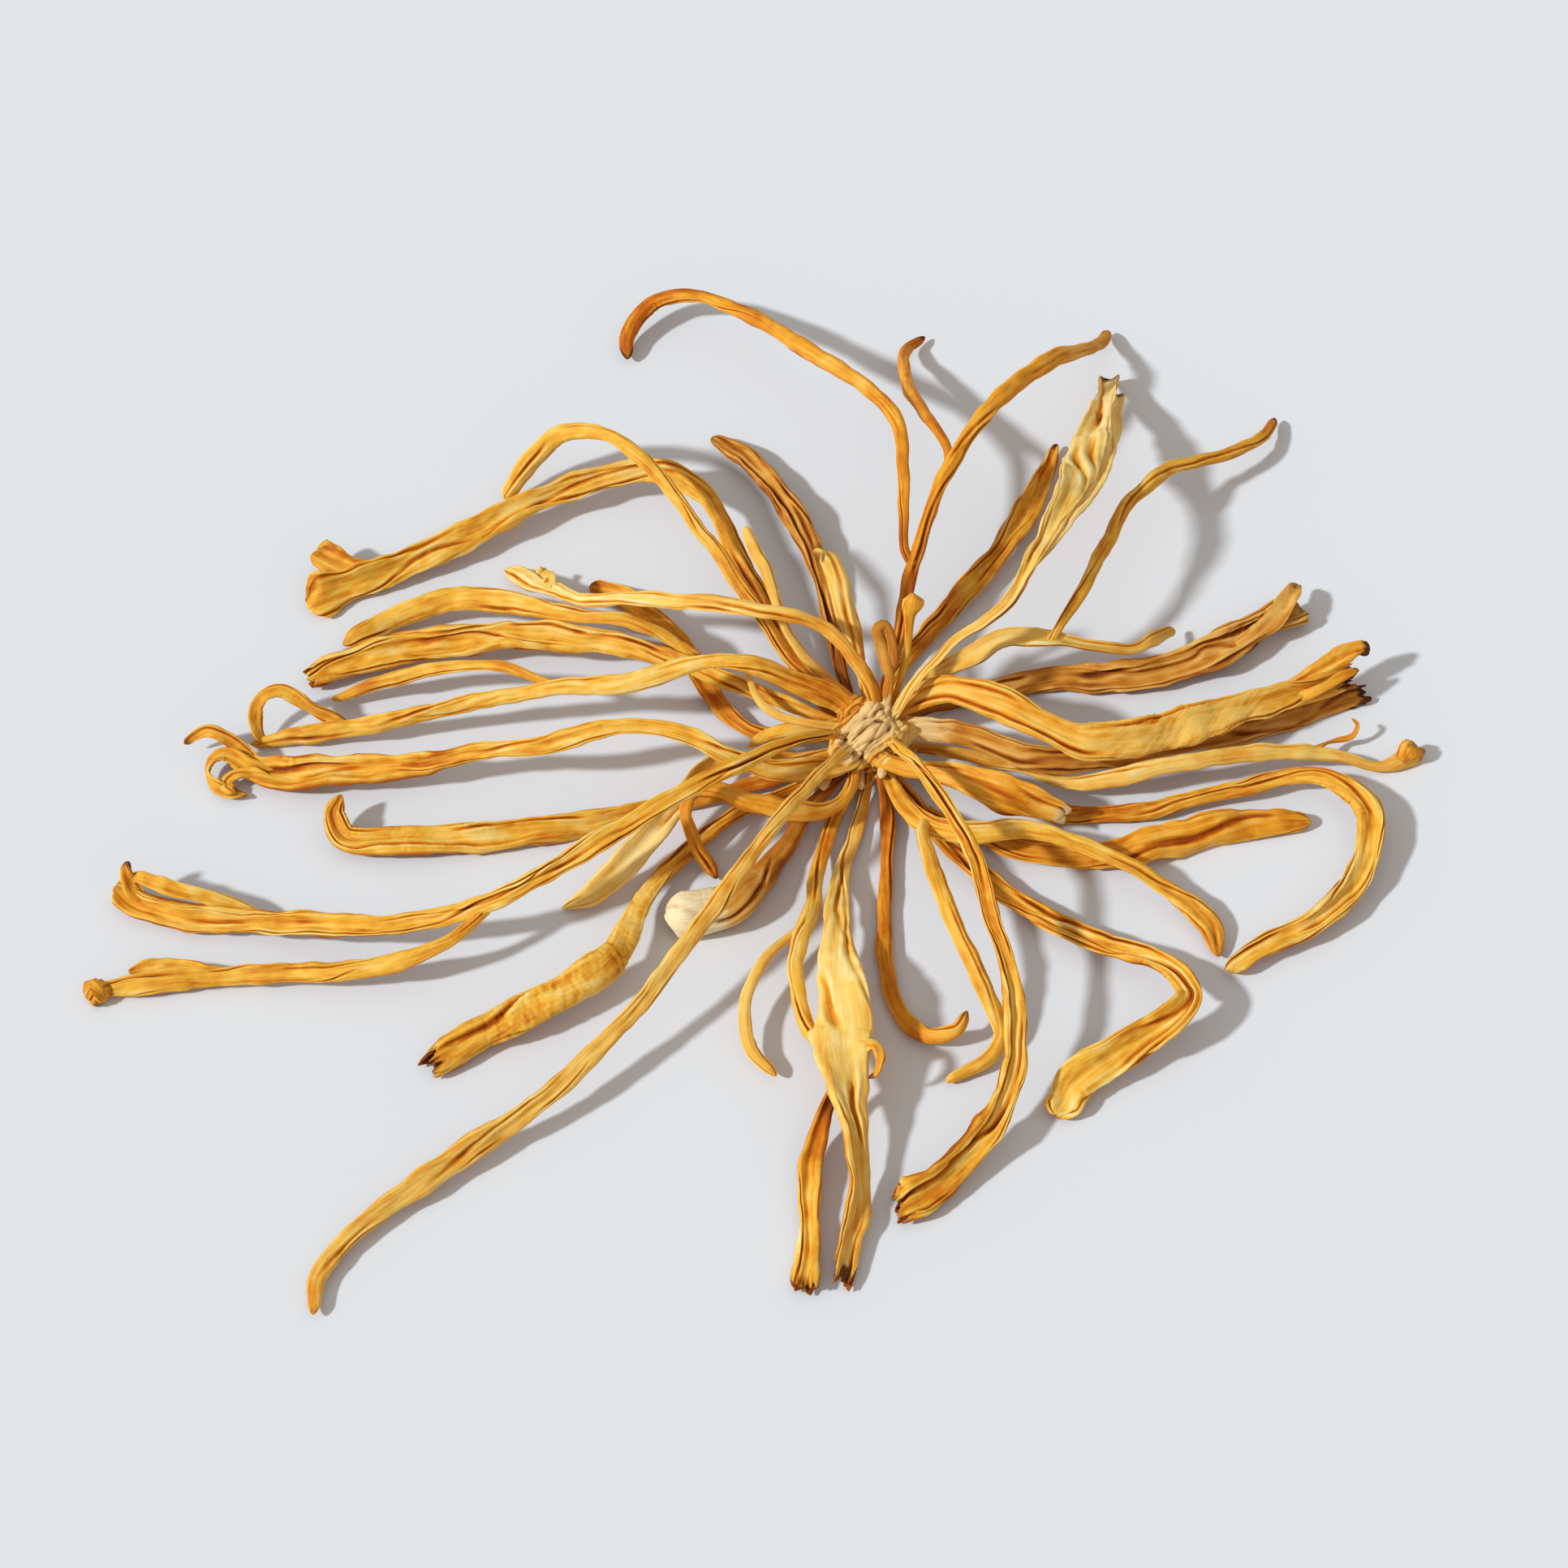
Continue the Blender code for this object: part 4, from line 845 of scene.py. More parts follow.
shortPale = {
    "finish": "pale", "seed": 29, "flat": 0.6, "folds": 2, "tone": (0, 0.4, 0.3), "tipBrown": 0.3,
    "route": [(-3, -0.5, 6.6, 1), (-7, -0.5, 7.4, 1), (-11.5, 1, 7.4, 1), (-14, 4, 7, 1), (-15, 8, 6.4, 0.8)]}
growStem("short_pale_stem", shortPale)
print("short stems grown")

# Stems at the back
backThin = {
    "finish": "pale", "seed": 30, "flat": 0.7, "folds": 2, "tone": (0, 0.2, 0.4, 0.2), "tipBrown": 0.4,
    "route": [
        (-1, 2.5, 5.4, 1.2), (-4.5, 7, 5.8, 1.2), (-8, 9.5, 7.8, 1.4), (-10, 12, 9.6, 1.4),
        (-11.5, 15.5, 11.5, 1.4), (-13, 20, 12.5, 1.7), (-14.5, 24, 12, 1.6), (-15.5, 28, 11, 1.1)]}
growStem("back_thin_stem", backThin)

backPale = {
    "finish": "pale", "seed": 31, "flat": 0.7, "folds": 3, "tone": (-0.2, 0.1, 0.5, 0.5), "tipBrown": 0.6,
    "lumps": 0.15,
    "sprigs": ({"route": [(-5.3, 18.6, 16.9, 1.2), (-6.3, 18.9, 17.4, 0.9), (-6.9, 18.6, 17.2, 0.5)]},),
    "route": [
        (0, 3, 6.4, 1.2), (-0.5, 5.5, 7.2, 1.2), (-1, 8.5, 9, 1.3), (-2, 12, 11, 2.2),
        (-3.5, 15, 14, 2.4), (-4.5, 17.5, 16, 2.2), (-5.5, 19, 17.5, 1.9)]}
growStem("back_pale_stem", backPale)

backFolded = {
    "finish": "brown", "seed": 32, "flat": 0.7, "folds": 3, "foldDepth": 0.4, "tone": (0, 0.2, 0.7, 0, -0.2),
    "tipBrown": 0.3,
    "route": [
        (1.9, 0.6, 7.2, 1), (2.7, 3.5, 10.6, 1.1), (1.6, 7, 12.8, 1.4), (1, 8.5, 14.8, 1.3),
        (2, 9, 15.1, 1.3), (2.9, 8, 14, 1.4), (3.2, 6.5, 12.6, 1.5), (3.3, 5, 11.6, 1)]}
growStem("back_folded_stem", backFolded)

backKnob = {
    "finish": "golden", "seed": 33, "flat": 0.9, "folds": 2, "tone": (-0.2, 0, 0.2), "tipBrown": 0.3,
    "swell": 0.05, "tipLength": 1.0, "lumps": 0.2,
    "route": [
        (2.4, 1.4, 7, 0.8), (4, 4.5, 9.5, 0.8), (4.9, 7, 12, 0.9), (5.2, 10, 15.4, 1.2),
        (5.5, 11, 17.2, 2.3), (5.5, 12, 17.9, 1.2)]}
growStem("back_knob_stem", backKnob)

backArch = {
    "finish": "orange", "seed": 34, "spiral": -0.03, "flat": 0.75, "folds": 4, "tone": (-0.6, -0.3, 0.1, 0.3, 0.1),
    "tipBrown": 0.7,
    "route": [
        (2, 3, 5, 1.3), (2.5, 7.5, 5.8, 1.4), (4, 13, 7, 1.6), (5.5, 21, 9, 1.8),
        (8, 29.5, 11, 1.9), (11.5, 38, 13, 2), (18, 48, 13.2, 2.2), (24.5, 55.5, 10.8, 2.2),
        (29, 60.5, 7, 2), (32, 65.5, 2.8, 1.8), (33, 69, 0.8, 1.3)]}
growStem("back_arch_stem", backArch)

backRibbon = {
    "finish": "pale", "seed": 35, "spiral": 0.05, "flat": 0.35, "turn": (0, 30, -20, 35, 0), "groove": 0.3, "cup": 0.35,
    "folds": 8, "foldDepth": 0.6, "tone": (0.3, 0.3, 0.3, 0.6, 0.9, 0.8), "tipBrown": 0.7, "brownReach": 3.0, "flare": 0.9, "thinEnd": 0.3,
    "jagged": 2.0,
    "sprigs": (
        {"route": [
            (20.6, 17.6, 16.4, 1.3), (24.9, 23.6, 16.2, 1.6), (29.2, 31.6, 13.8, 1.9), (31.4, 39.6, 10.8, 1.9),
            (33, 48.6, 6.8, 1.7), (34, 56.6, 2.8, 1.1)], "tone": (0.8, 0.8)},),
    "roll": (0, 0.5, 0.9, 0.4, -0.6, 0.7, 1.2),
    "route": [
        (3.2, 0.6, 7.4, 1.2), (5.7, 3.2, 10.8, 1.3), (8.5, 5.5, 12.6, 1.3), (11, 8, 13.6, 1.4),
        (14, 9.5, 14.6, 1.8), (17.5, 12, 15.6, 1.8), (20, 16.5, 16.5, 2), (23, 23, 16.5, 3),
        (26, 31, 15, 4), (29, 41.5, 11, 4.6), (31.5, 52, 5.6, 3.4), (33, 60.5, 1, 2)]}
growStem("back_ribbon_stem", backRibbon)

backSide = {
    "finish": "orange", "seed": 66, "flat": 0.75, "folds": 3, "tone": (0, 0.2, 0, -0.4),
    "tipBrown": 0.9, "buried": (10.7, 36.2, 12.8, 1.2),
    "route": [
        (10.4, 39.4, 13, 1.2), (8.3, 45, 11.6, 1.5), (6, 53, 8, 1.7), (5.4, 60, 4.6, 1.7),
        (6, 65, 2, 1.6), (8.5, 68, 0.9, 1.1)]}
growStem("back_side_stem", backSide)

backCurl = {
    "finish": "orange", "seed": 67, "spiral": 0.04, "flat": 0.75, "folds": 3, "tone": (-0.2, 0.1, 0.3, 0.1, -0.9),
    "tipBrown": 0.8, "buried": (6.0, 22.6, 9.4, 1.3),
    "route": [
        (4.8, 25, 10.3, 1.2), (4.8, 33, 12.4, 1.6), (4.4, 42, 13.2, 1.8), (0.5, 49.5, 12.4, 1.9),
        (-5.5, 56, 10.4, 2), (-11, 62.5, 8.4, 2), (-17, 68, 6.8, 2), (-23, 71.5, 5.2, 2),
        (-28, 71.5, 3.8, 2), (-31, 68, 2.4, 2.2), (-31.5, 64, 1.2, 1.8)]}
growStem("back_curl_stem", backCurl)

backLow = {
    "finish": "brown", "seed": 68, "flat": 0.55, "groove": 0.25, "cup": 0.22, "folds": 6,
    "tone": (-0.8, -0.4, 0, 0.2), "tipBrown": 0.6,
    "roll": (0, 0.3, 0.8, 0.9),
    "route": [
        (-0.9, 3.5, 1.8, 1.1), (-1.8, 6.5, 1.4, 1.2), (-3, 12, 1.2, 1.8), (-4.5, 20, 1.5, 2.4),
        (-6.5, 29, 2.4, 3), (-10, 38, 2.6, 3.4), (-15, 45.5, 1.9, 3.2), (-20, 50.5, 1.1, 2)]}
growStem("back_low_stem", backLow)

backRight = {
    "finish": "golden", "seed": 69, "flat": 0.55, "groove": 0.25, "cup": 0.2, "folds": 6,
    "tone": (-0.8, -0.4, 0, 0.1), "tipBrown": 0.7, "jagged": 1.6,
    "roll": (0, 0.3, 0.8, 1.0),
    "route": [
        (0.3, 3.7, 2.3, 1.1), (1.4, 6.5, 1.6, 1.2), (4, 12, 1.2, 1.8), (9.5, 20, 1.4, 2.4),
        (15.5, 28, 2, 3), (20.5, 36, 2.2, 3.4), (24, 44, 1.6, 2.8), (25.5, 49.5, 1, 1.4)]}
growStem("back_right_stem", backRight)
print("back stems grown")

# Stems to the right
rightUpper = {
    "finish": "pale", "seed": 36, "flat": 0.45, "turn": (0, 15, 0), "groove": 0.25, "cup": 0.2, "folds": 4,
    "tone": (-0.4, 0.3, 0.6, 0.2, 0), "tipBrown": 0.4,
    "roll": (0, 0.4, 0.7, 0.2, 0),
    "route": [
        (2.5, 3, 4, 1.5), (6.5, 7, 5, 1.6), (10, 9, 6.3, 2.4), (13.5, 10, 7.6, 3.1),
        (17, 11.5, 8.6, 2.8), (23, 11.5, 8.8, 2.6), (28.5, 11.5, 7.4, 1.8), (34, 12.5, 5.6, 1.6),
        (37, 15.5, 3.8, 1.9), (39.5, 18.5, 1.4, 1.2)]}
growStem("right_upper_stem", rightUpper)

rightBack = {
    "finish": "brown", "seed": 37, "spiral": -0.02, "flat": 0.5, "turn": (0, 10, -10), "groove": 0.4, "cup": 0.25, "folds": 7,
    "foldDepth": 0.6, "tone": (-0.4, 0.1, 0.4, 0.7, 0.9), "tipBrown": 0.5, "flare": 0.35, "thinEnd": 0.4,
    "jagged": 1.8, "wrinkles": ((0.78, 0.98, 0.10, 0.6),), "stains": ((0.97, 1.6, 0.6, 270),),
    "sprigs": (
        {"route": [(47.5, 15.6, 1.8, 1.7), (51.6, 18.1, 3.2, 2.6), (54.0, 21.3, 3.6, 2.7), (55.6, 25, 2.8, 1.5)],
         "turn": (0, 10)},),
    "roll": (0, 0.2, 0.6, 1.1, 1.0),
    "route": [
        (2, 2.6, 1.8, 1.3), (8.5, 6.5, 1.4, 1.8), (15.5, 9, 1.1, 2.6), (23, 11, 1.2, 3.4),
        (31, 11, 1.4, 4.2), (38.5, 12, 1.6, 5), (45.5, 15, 1.9, 5.2), (51, 18.5, 2, 4.6),
        (56, 22, 1.4, 3.4)]}
growStem("right_back_stem", rightBack)

rightRibbon = {
    "finish": "orange", "seed": 38, "flat": 0.42, "turn": (0, 5, -10, 0), "groove": 0.3, "end": "open",
    "cup": 0.22, "folds": 6, "foldDepth": 0.5, "tone": (0.2, 0.5, 0.8, 0.8, 0.8, 0.5),
    "wrinkles": ((0.44, 0.84, 0.13, 1.3),), "tipBrown": 0.6, "jagged": 1.6, "flare": 0.15, "stains": ((0.96, 1.8, 0.6, 60),),
    "sprigs": (
        {"route": [(53.5, 5.4, 4, 1.6), (57, 6.4, 5.1, 1.9), (60, 8.2, 5.2, 1.5), (62.4, 9.8, 4.8, 0.7)],
         "turn": (0, 10)},
        {"route": [
            (52.5, 6.6, 4.4, 1.8), (56.6, 9, 5.2, 2.4), (60, 11.2, 5.6, 2.6), (62.5, 12.4, 5.8, 2.4),
            (63.8, 12.2, 4.8, 2.2)],
         "tipBrown": 1.0, "brownReach": 2.6, "turn": (0, 10), "tipLength": 1.0, "flat": 0.6}),
    "roll": (0, 0, 0.3, -0.3, -0.2, 0.4, 0.8),
    "route": [
        (1.5, 1.8, 5.9, 2.4), (4.7, 2.8, 7.1, 2.8), (8.5, 3.5, 8.9, 3.5), (12.5, 2, 10.2, 4),
        (17, 0, 10.4, 4.2), (21, -2.5, 10, 4.1), (25.5, -4, 9.2, 4.2), (30, -4, 8.6, 4.4),
        (35.5, -2.5, 7.8, 4.6), (42.5, 0.5, 7, 4.4), (49.5, 4, 5.5, 3.7), (56.5, 7.5, 4.3, 3.4),
        (61.5, 10, 3.6, 3.4)]}
growStem("right_ribbon_stem", rightRibbon)

rightBrown = {
    "finish": "brown", "seed": 39, "flat": 0.5, "turn": (0, -10, 5), "groove": 0.3, "end": "open",
    "cup": 0.2, "folds": 6, "foldDepth": 0.55, "tone": (0.5, 0.5, 0.4, 0.3, 0.1, -0.1), "felt": 9.0,
    "tipBrown": 0.9, "jagged": 1.6,
    "route": [
        (1.5, 0.3, 4.4, 2.6), (7, 0, 5.4, 3), (11, -1, 5.8, 3.1), (15.5, -2.5, 5.8, 3.2),
        (19, -4, 5.4, 3.2), (25, -4.5, 4.8, 3), (31, -3, 3.8, 2.8), (38.5, -0.5, 3, 2.8),
        (46.5, 2, 2, 3), (53.5, 5, 1.4, 3.2), (59.5, 7.5, 1.1, 3), (63.5, 8.5, 0.9, 2.4)]}
growStem("right_brown_stem", rightBrown)

rightThin = {
    "finish": "pale", "seed": 40, "spiral": 0.04, "flat": 0.7, "folds": 3, "foldDepth": 0.4, "lumps": 0.14,
    "tone": (-0.6, -0.2, 0.2, 0.4, 0.3, 0.1, -0.5), "tipBrown": 0.5, "stains": ((0.965, 0.5, 0.9, 90),),
    "sprigs": (
        {"route": [
            (55.6, -1.9, 3, 1.2), (57.4, -0.2, 2.4, 1), (59.2, 0.9, 1.8, 0.9), (61.2, 1.5, 2, 0.8),
            (61.8, 2.5, 2.8, 0.7), (61, 3.2, 3, 0.5)]},
        {"route": [(67.0, -1.8, 1.3, 1.8), (68.2, -0.6, 1.9, 2.4), (69.0, 0.1, 2.1, 1.7)], "flat": 0.85, "pucker": 0.05, "groove": 0.0,
         "turn": (0, 0)}),
    "route": [
        (2.5, 0, 2, 1.3), (9, -0.5, 1.6, 1.4), (15, -2, 1.7, 1.6), (20, -3.5, 1.9, 1.8),
        (26, -6.5, 2.6, 2), (31, -6.5, 3.9, 2.2), (37.5, -5.5, 5.2, 2.2), (46, -3.5, 4.8, 2.2),
        (54.5, -2, 3.4, 2), (60.5, -2, 2, 1.6), (64.5, -2.5, 1.1, 1.5), (67.5, -1.5, 1.1, 2.5),
        (70.5, 0, 0.8, 1.6)]}
growStem("right_thin_stem", rightThin)

rightTorn = {
    "finish": "orange", "seed": 41, "flat": 0.5, "groove": 0.3, "cup": 0.3, "feltEnd": 1.5,
    "thinEnd": 0.4, "tipLength": 0.8, "folds": 5,
    "foldDepth": 0.55, "tone": (0.3, 0.3, 0.5, 0.3, 0.9), "tipBrown": 0.1, "jagged": 3.0,
    "roll": (0, 0.3, 0.8, 0.9),
    "route": [
        (0.5, -4, 5.2, 1.8), (4.5, -6, 5.5, 2.2), (8.5, -7, 6, 2.6), (12.5, -8.5, 6.6, 3.6),
        (16.5, -10.5, 6.4, 4.8), (21, -11.5, 5.2, 4.6), (24.5, -12, 3.8, 3.2)]}
growStem("right_torn_stem", rightTorn)

rightLow = {
    "finish": "golden", "seed": 42, "flat": 0.6, "turn": (0, 15, 0), "groove": 0.25, "cup": 0.2, "folds": 5,
    "tone": (-0.4, 0.2, 0.4, 0.3, 0.2, 0), "tipBrown": 0.4,
    "route": [
        (1, -3, 3.2, 1.3), (2.5, -6, 3.2, 1.6), (4.5, -10.5, 3.7, 2.1), (7.5, -14.5, 4.8, 2.6),
        (12, -16, 5.6, 2.9), (18.5, -15.5, 5.8, 2.4), (25.5, -17, 5.2, 2), (32, -20, 4, 2),
        (38, -23, 2.4, 2.2), (41.5, -26.5, 1.3, 2.8), (43, -31, 0.7, 1.4)]}
growStem("right_low_stem", rightLow)

rightCurl = {
    "finish": "golden", "seed": 70, "flat": 0.75, "folds": 3, "tone": (0.2, 0.2, 0.1, -0.3),
    "tipBrown": 0.8, "buried": (23.0, 11.2, 8.8, 1.2),
    "route": [
        (24.2, 13, 9.4, 1.2), (27.5, 18.5, 10.4, 1.5), (30.5, 25.5, 10.2, 1.8), (34, 33.5, 9, 1.9),
        (40, 40.5, 7, 1.9), (46.5, 44.5, 5, 1.7), (52, 48.5, 2.8, 1.3), (54.5, 54, 0.9, 1)]}
growStem("right_curl_stem", rightCurl)

rightLoop = {
    "finish": "golden", "seed": 71, "spiral": 0.03, "flat": 0.55, "turn": (0, 10, -10), "groove": 0.3, "cup": 0.22,
    "folds": 6, "tone": (-0.6, -0.4, -0.1, 0.2, 0.4, 0.3), "tipBrown": 0.4, "flare": 0.5, "thinEnd": 0.4, "jagged": 2.2,
    "roll": (0, 0, 0, 0.3, 0.8, 1.2, 0.8),
    "route": [
        (3.4, -2.1, 3, 1.3), (6, -3.4, 2.7, 1.4), (10, -5.2, 2, 1.8), (16.5, -7.4, 1.4, 2.1),
        (25, -10, 1.2, 2.2), (35, -9.5, 1.5, 2.2), (45, -7.2, 2.2, 2.2), (53.5, -5.4, 2.8, 2.4),
        (59.5, -7, 3, 2.8), (62.5, -12, 2.8, 3.2), (61, -19, 2.4, 3.6), (55.5, -26, 2, 3.8),
        (48, -30.5, 1.5, 3.2), (43.8, -33, 1.1, 2)]}
growStem("right_loop_stem", rightLoop)

rightFront = {
    "finish": "orange", "seed": 72, "flat": 0.5, "groove": 0.35, "cup": 0.25, "folds": 7,
    "tone": (-0.3, 0.1, 0.3, 0.2), "tipBrown": 0.35, "flare": 0.2, "thinEnd": 0.4, "jagged": 2.2, "foldDepth": 0.8,
    "buried": (7.4, -9.7, 1.5, 1.2),
    "roll": (0, 0.3, -0.5, -1.1, -1.0), "spiral": 0.04,
    "route": [
        (9.6, -11, 1.4, 1.2), (13.5, -13, 1.3, 1.9), (20, -15.8, 1.4, 2.6), (29, -16.5, 1.6, 3.4),
        (38, -14.5, 2, 4.2), (45, -12.5, 2.2, 4.2), (51, -11.5, 1.8, 3.4), (55, -11.2, 1.2, 2)]}
growStem("right_front_stem", rightFront)
print("right stems grown")

# Stems in front. Those that fork off another start inside it, at "buried".
frontBranch = {
    "finish": "golden", "seed": 43, "flat": 0.7, "folds": 4, "tone": (0.3, 0.4, 0.4, 0.2),
    "tipBrown": 0.3, "buried": (7.2, -13.6, 4.8, 1.6),
    "route": [
        (6.6, -16, 6.1, 1.5), (7.4, -21.5, 7.6, 2), (9.5, -29, 8, 2.2), (12.5, -36, 6.4, 2.2),
        (15, -41, 3.6, 2), (15.5, -43.5, 2.2, 1.8), (13.5, -46.5, 1.2, 1.7), (9, -49, 0.7, 1.2)]}
growStem("front_branch_stem", frontBranch)

frontStrap = {
    "finish": "golden", "seed": 44, "spiral": 0.02, "flat": 0.45, "turn": (0, 10, -10, 0), "groove": 0.4, "cup": 0.3,
    "folds": 8, "foldDepth": 0.78, "tone": (-0.6, -0.4, -0.2, 0.1, 0.3, 0.6), "tipBrown": 0.15,
    "jagged": 2.6, "tipLength": 0.9, "thinEnd": 0.45,
    "roll": (0, 0, 0.3, 0.5, 0.9, 0.6, 0.3),
    "route": [
        (1, -1.5, 1.5, 1.3), (3, -4, 1.5, 1.4), (6, -8.5, 1.3, 1.8), (10.5, -15.5, 1.3, 2.2),
        (18.5, -23.5, 1.8, 2.6), (28.5, -30, 2.4, 3), (36, -34, 3.4, 3.2), (38.5, -38.5, 4.4, 3.4),
        (36, -42.5, 4.4, 4.2), (30.5, -45.5, 3.2, 4.8), (25, -49.5, 1.8, 4.8), (22, -53.5, 1.1, 3.8)]}
growStem("front_strap_stem", frontStrap)

frontCurled = {
    "finish": "orange", "seed": 45, "flat": 0.75, "folds": 3, "tone": (-0.8, -0.5, -0.2, 0, -0.1),
    "tipBrown": 0.5,
    "route": [
        (0.6, -2, 1.5, 1.1), (1.7, -5, 1.5, 1.2), (2.5, -11, 0.9, 1.6), (2, -21, 0.9, 1.7),
        (2, -31, 0.9, 1.8), (3.5, -39, 1, 2), (6.5, -43, 1.6, 2), (10, -43, 2.8, 1.9),
        (11.5, -40.5, 3.6, 1.4)]}
growStem("front_curled_stem", frontCurled)

frontClub = {
    "finish": "pale", "seed": 46, "flat": 0.4, "turn": (0, 0, 10, -25, 20, 70, 20), "groove": 0.3, "end": "open",
    "cup": 0.25, "folds": 6, "foldDepth": 0.8, "lumps": 0.07, "tone": (-0.4, -0.1, 0.3, 0.7, 0.7, 0.4, 0, -0.3), "spiral": 0.055,
    "tipBrown": 0.8, "jagged": 2.0, "flare": 0.15, "stains": ((0.985, 1.6, 0.7, 90),),
    "sprigs": (
        {"route": [(-1.4, -47.2, 6.4, 1.6), (0.4, -47.8, 7.2, 1.5), (1.0, -49.6, 7.0, 1.3), (0.4, -51.0, 6.2, 0.9),
                   (-0.5, -51.4, 5.6, 0.5)], "flat": 0.5},),
    "roll": (0, 0, 0.2, -0.4, -0.5, 0.3, 0.9, 1.2),
    "route": [
        (0, -2.5, 1.5, 1.1), (0, -5.5, 1.5, 1.2), (-1.5, -12, 1, 1.8), (-3.5, -19.5, 2, 2.2),
        (-4, -28.5, 4.2, 3.4), (-4, -35.5, 5.2, 5.4), (-3.5, -41.5, 5.8, 6.4), (-3.5, -47, 6, 6.6),
        (-3, -53.5, 5.2, 5), (-2, -60, 4, 3.6), (-2, -66, 2.4, 3.8), (-3, -71.5, 1.4, 3.2),
        (-4, -76.5, 1.1, 2.8)]}
growStem("front_club_stem", frontClub)

# its root end is darkened by a deep tone and a stain on its top: a painted shadow of the club it forks from
frontSide = {
    "finish": "golden", "seed": 47, "flat": 0.6, "groove": 0.75, "end": "open", "cup": 0.2, "jagged": 0.9, "flare": 0.3, "folds": 4, "foldDepth": 0.5,
    "tone": (-1.6, -0.6, 0.3, 0.4, -0.2), "tipBrown": 0.45, "buried": (-3.9, -51.8, 5.2, 1.8),
    "stains": ((0.10, 3.2, 0.7, 90),),
    "roll": (0, 0.5, 0.9, 0.5),
    "route": [
        (-5.4, -54.2, 3.8, 1.8), (-7, -60, 2.2, 3), (-7.5, -65.5, 1.3, 3.1), (-7.5, -71, 1.2, 3.2),
        (-8, -77.5, 1.1, 2.6)]}
growStem("front_side_stem", frontSide)

frontThin = {
    "finish": "golden", "seed": 48, "flat": 0.7, "folds": 3, "tone": (-0.5, -0.2, 0.3, 0.4, 0.2),
    "tipBrown": 0.0, "ending": (-5.2, -46.4, 4.6, 1.4),
    "route": [
        (-0.9, -2, 1.4, 1.1), (-1.7, -5, 1.4, 1.1), (-4.3, -11, 1, 1.7), (-6, -18.5, 2.2, 2),
        (-7, -25.5, 3.4, 2.2), (-8.5, -31, 3.8, 2), (-9, -35.5, 3.8, 2), (-8.5, -40.5, 3.6, 2),
        (-7.5, -43.5, 3.4, 1.8)]}
growStem("front_thin_stem", frontThin)

frontLoop = {
    "finish": "orange", "seed": 49, "flat": 0.75, "folds": 4, "tone": (0.4, 0.5, 0.4, 0, -0.3),
    "tipBrown": 0.5,
    "route": [
        (-1.5, -3, 3, 1.3), (-2, -7, 3.2, 1.6), (-4.5, -11, 4.3, 2), (-8.5, -13, 5.8, 2.4),
        (-14.5, -12.5, 7.4, 2.4), (-18.5, -11.5, 8.4, 2), (-21.5, -11.5, 8.2, 1.6),
        (-22.5, -14, 7, 1.5), (-21.5, -16.5, 4.2, 1.6), (-20, -18, 1.7, 1.5), (-19, -19.5, 0.8, 1.2)]}
growStem("front_loop_stem", frontLoop)

frontHollow = {
    "finish": "brown", "seed": 50, "flat": 0.85, "cup": 0.0, "folds": 3, "foldDepth": 0.16, "fibre": 0.012, "feltEnd": 9.0,
    "tone": (-0.6, -0.5, -0.2, 0, 1.2, 2.0), "tipBrown": 0.0, "jagged": 0.9, "tipLength": 1.9, "flare": 0.1, "pucker": 0.06,
    "route": [
        (-1.6, -2, 1.6, 1.1), (-3.4, -4.4, 1.6, 1.2), (-7.5, -9.5, 1.5, 1.9), (-11, -16.5, 1.7, 2.6),
        (-14.5, -21.5, 2.3, 4.2), (-18, -25, 2.7, 5.4), (-22, -26, 2.7, 5.8), (-25, -26, 2.7, 5.6)]}
growStem("front_hollow_stem", frontHollow)

frontWrinkled = {
    "finish": "golden", "seed": 51, "flat": 0.6, "groove": 0.25, "cup": 0.15, "folds": 5,
    "tone": (-0.6, -0.4, 0, 0.3, 0.3, 0.2, -0.2), "tipBrown": 0.45, "end": "open", "flare": 0.25,
    "jagged": 1.8,
    "wrinkles": ((0.45, 0.92, 0.12, 0.4),),
    "roll": (0, 0, 0, -0.4, -0.6, -0.3, 0.6),
    "route": [
        (-2, -1.4, 1.4, 1.1), (-4.6, -3.1, 1.4, 1.2), (-10, -6.5, 1.3, 1.7), (-17, -10.5, 1.4, 2),
        (-22.5, -16, 1.8, 2.2), (-27.5, -23, 2.8, 2.6), (-29.5, -29.5, 3.8, 3.4), (-32.5, -34.5, 4.4, 4),
        (-38, -38.5, 3.8, 4.3), (-44.5, -41.5, 2.6, 4.4), (-50.5, -45, 1.5, 4), (-53.5, -47, 1.1, 2.6)]}
growStem("front_wrinkled_stem", frontWrinkled)

frontLeft = {
    "finish": "pale", "seed": 73, "spiral": 0.03, "flat": 0.6, "folds": 4, "tone": (-0.3, 0, 0.2, 0.2, -0.1, -0.3),
    "tipBrown": 0.4,
    "roll": (0, 0, 0.2, 0.5, 0.8, 0.4, 0),
    "route": [
        (-2, -2.8, 5.8, 1.2), (-4.2, -6.4, 8, 1.4), (-7.6, -12, 10.2, 1.8), (-12.5, -20, 11, 2),
        (-20, -31, 9.8, 2.2), (-28, -42, 7, 2.3), (-37, -51.5, 4.6, 2.6), (-46, -58, 3, 3),
        (-54, -64, 2.1, 3), (-61, -70, 1.6, 2.4), (-65, -76, 1.3, 2), (-65.5, -81, 1, 1.3)]}
growStem("front_left_stem", frontLeft)

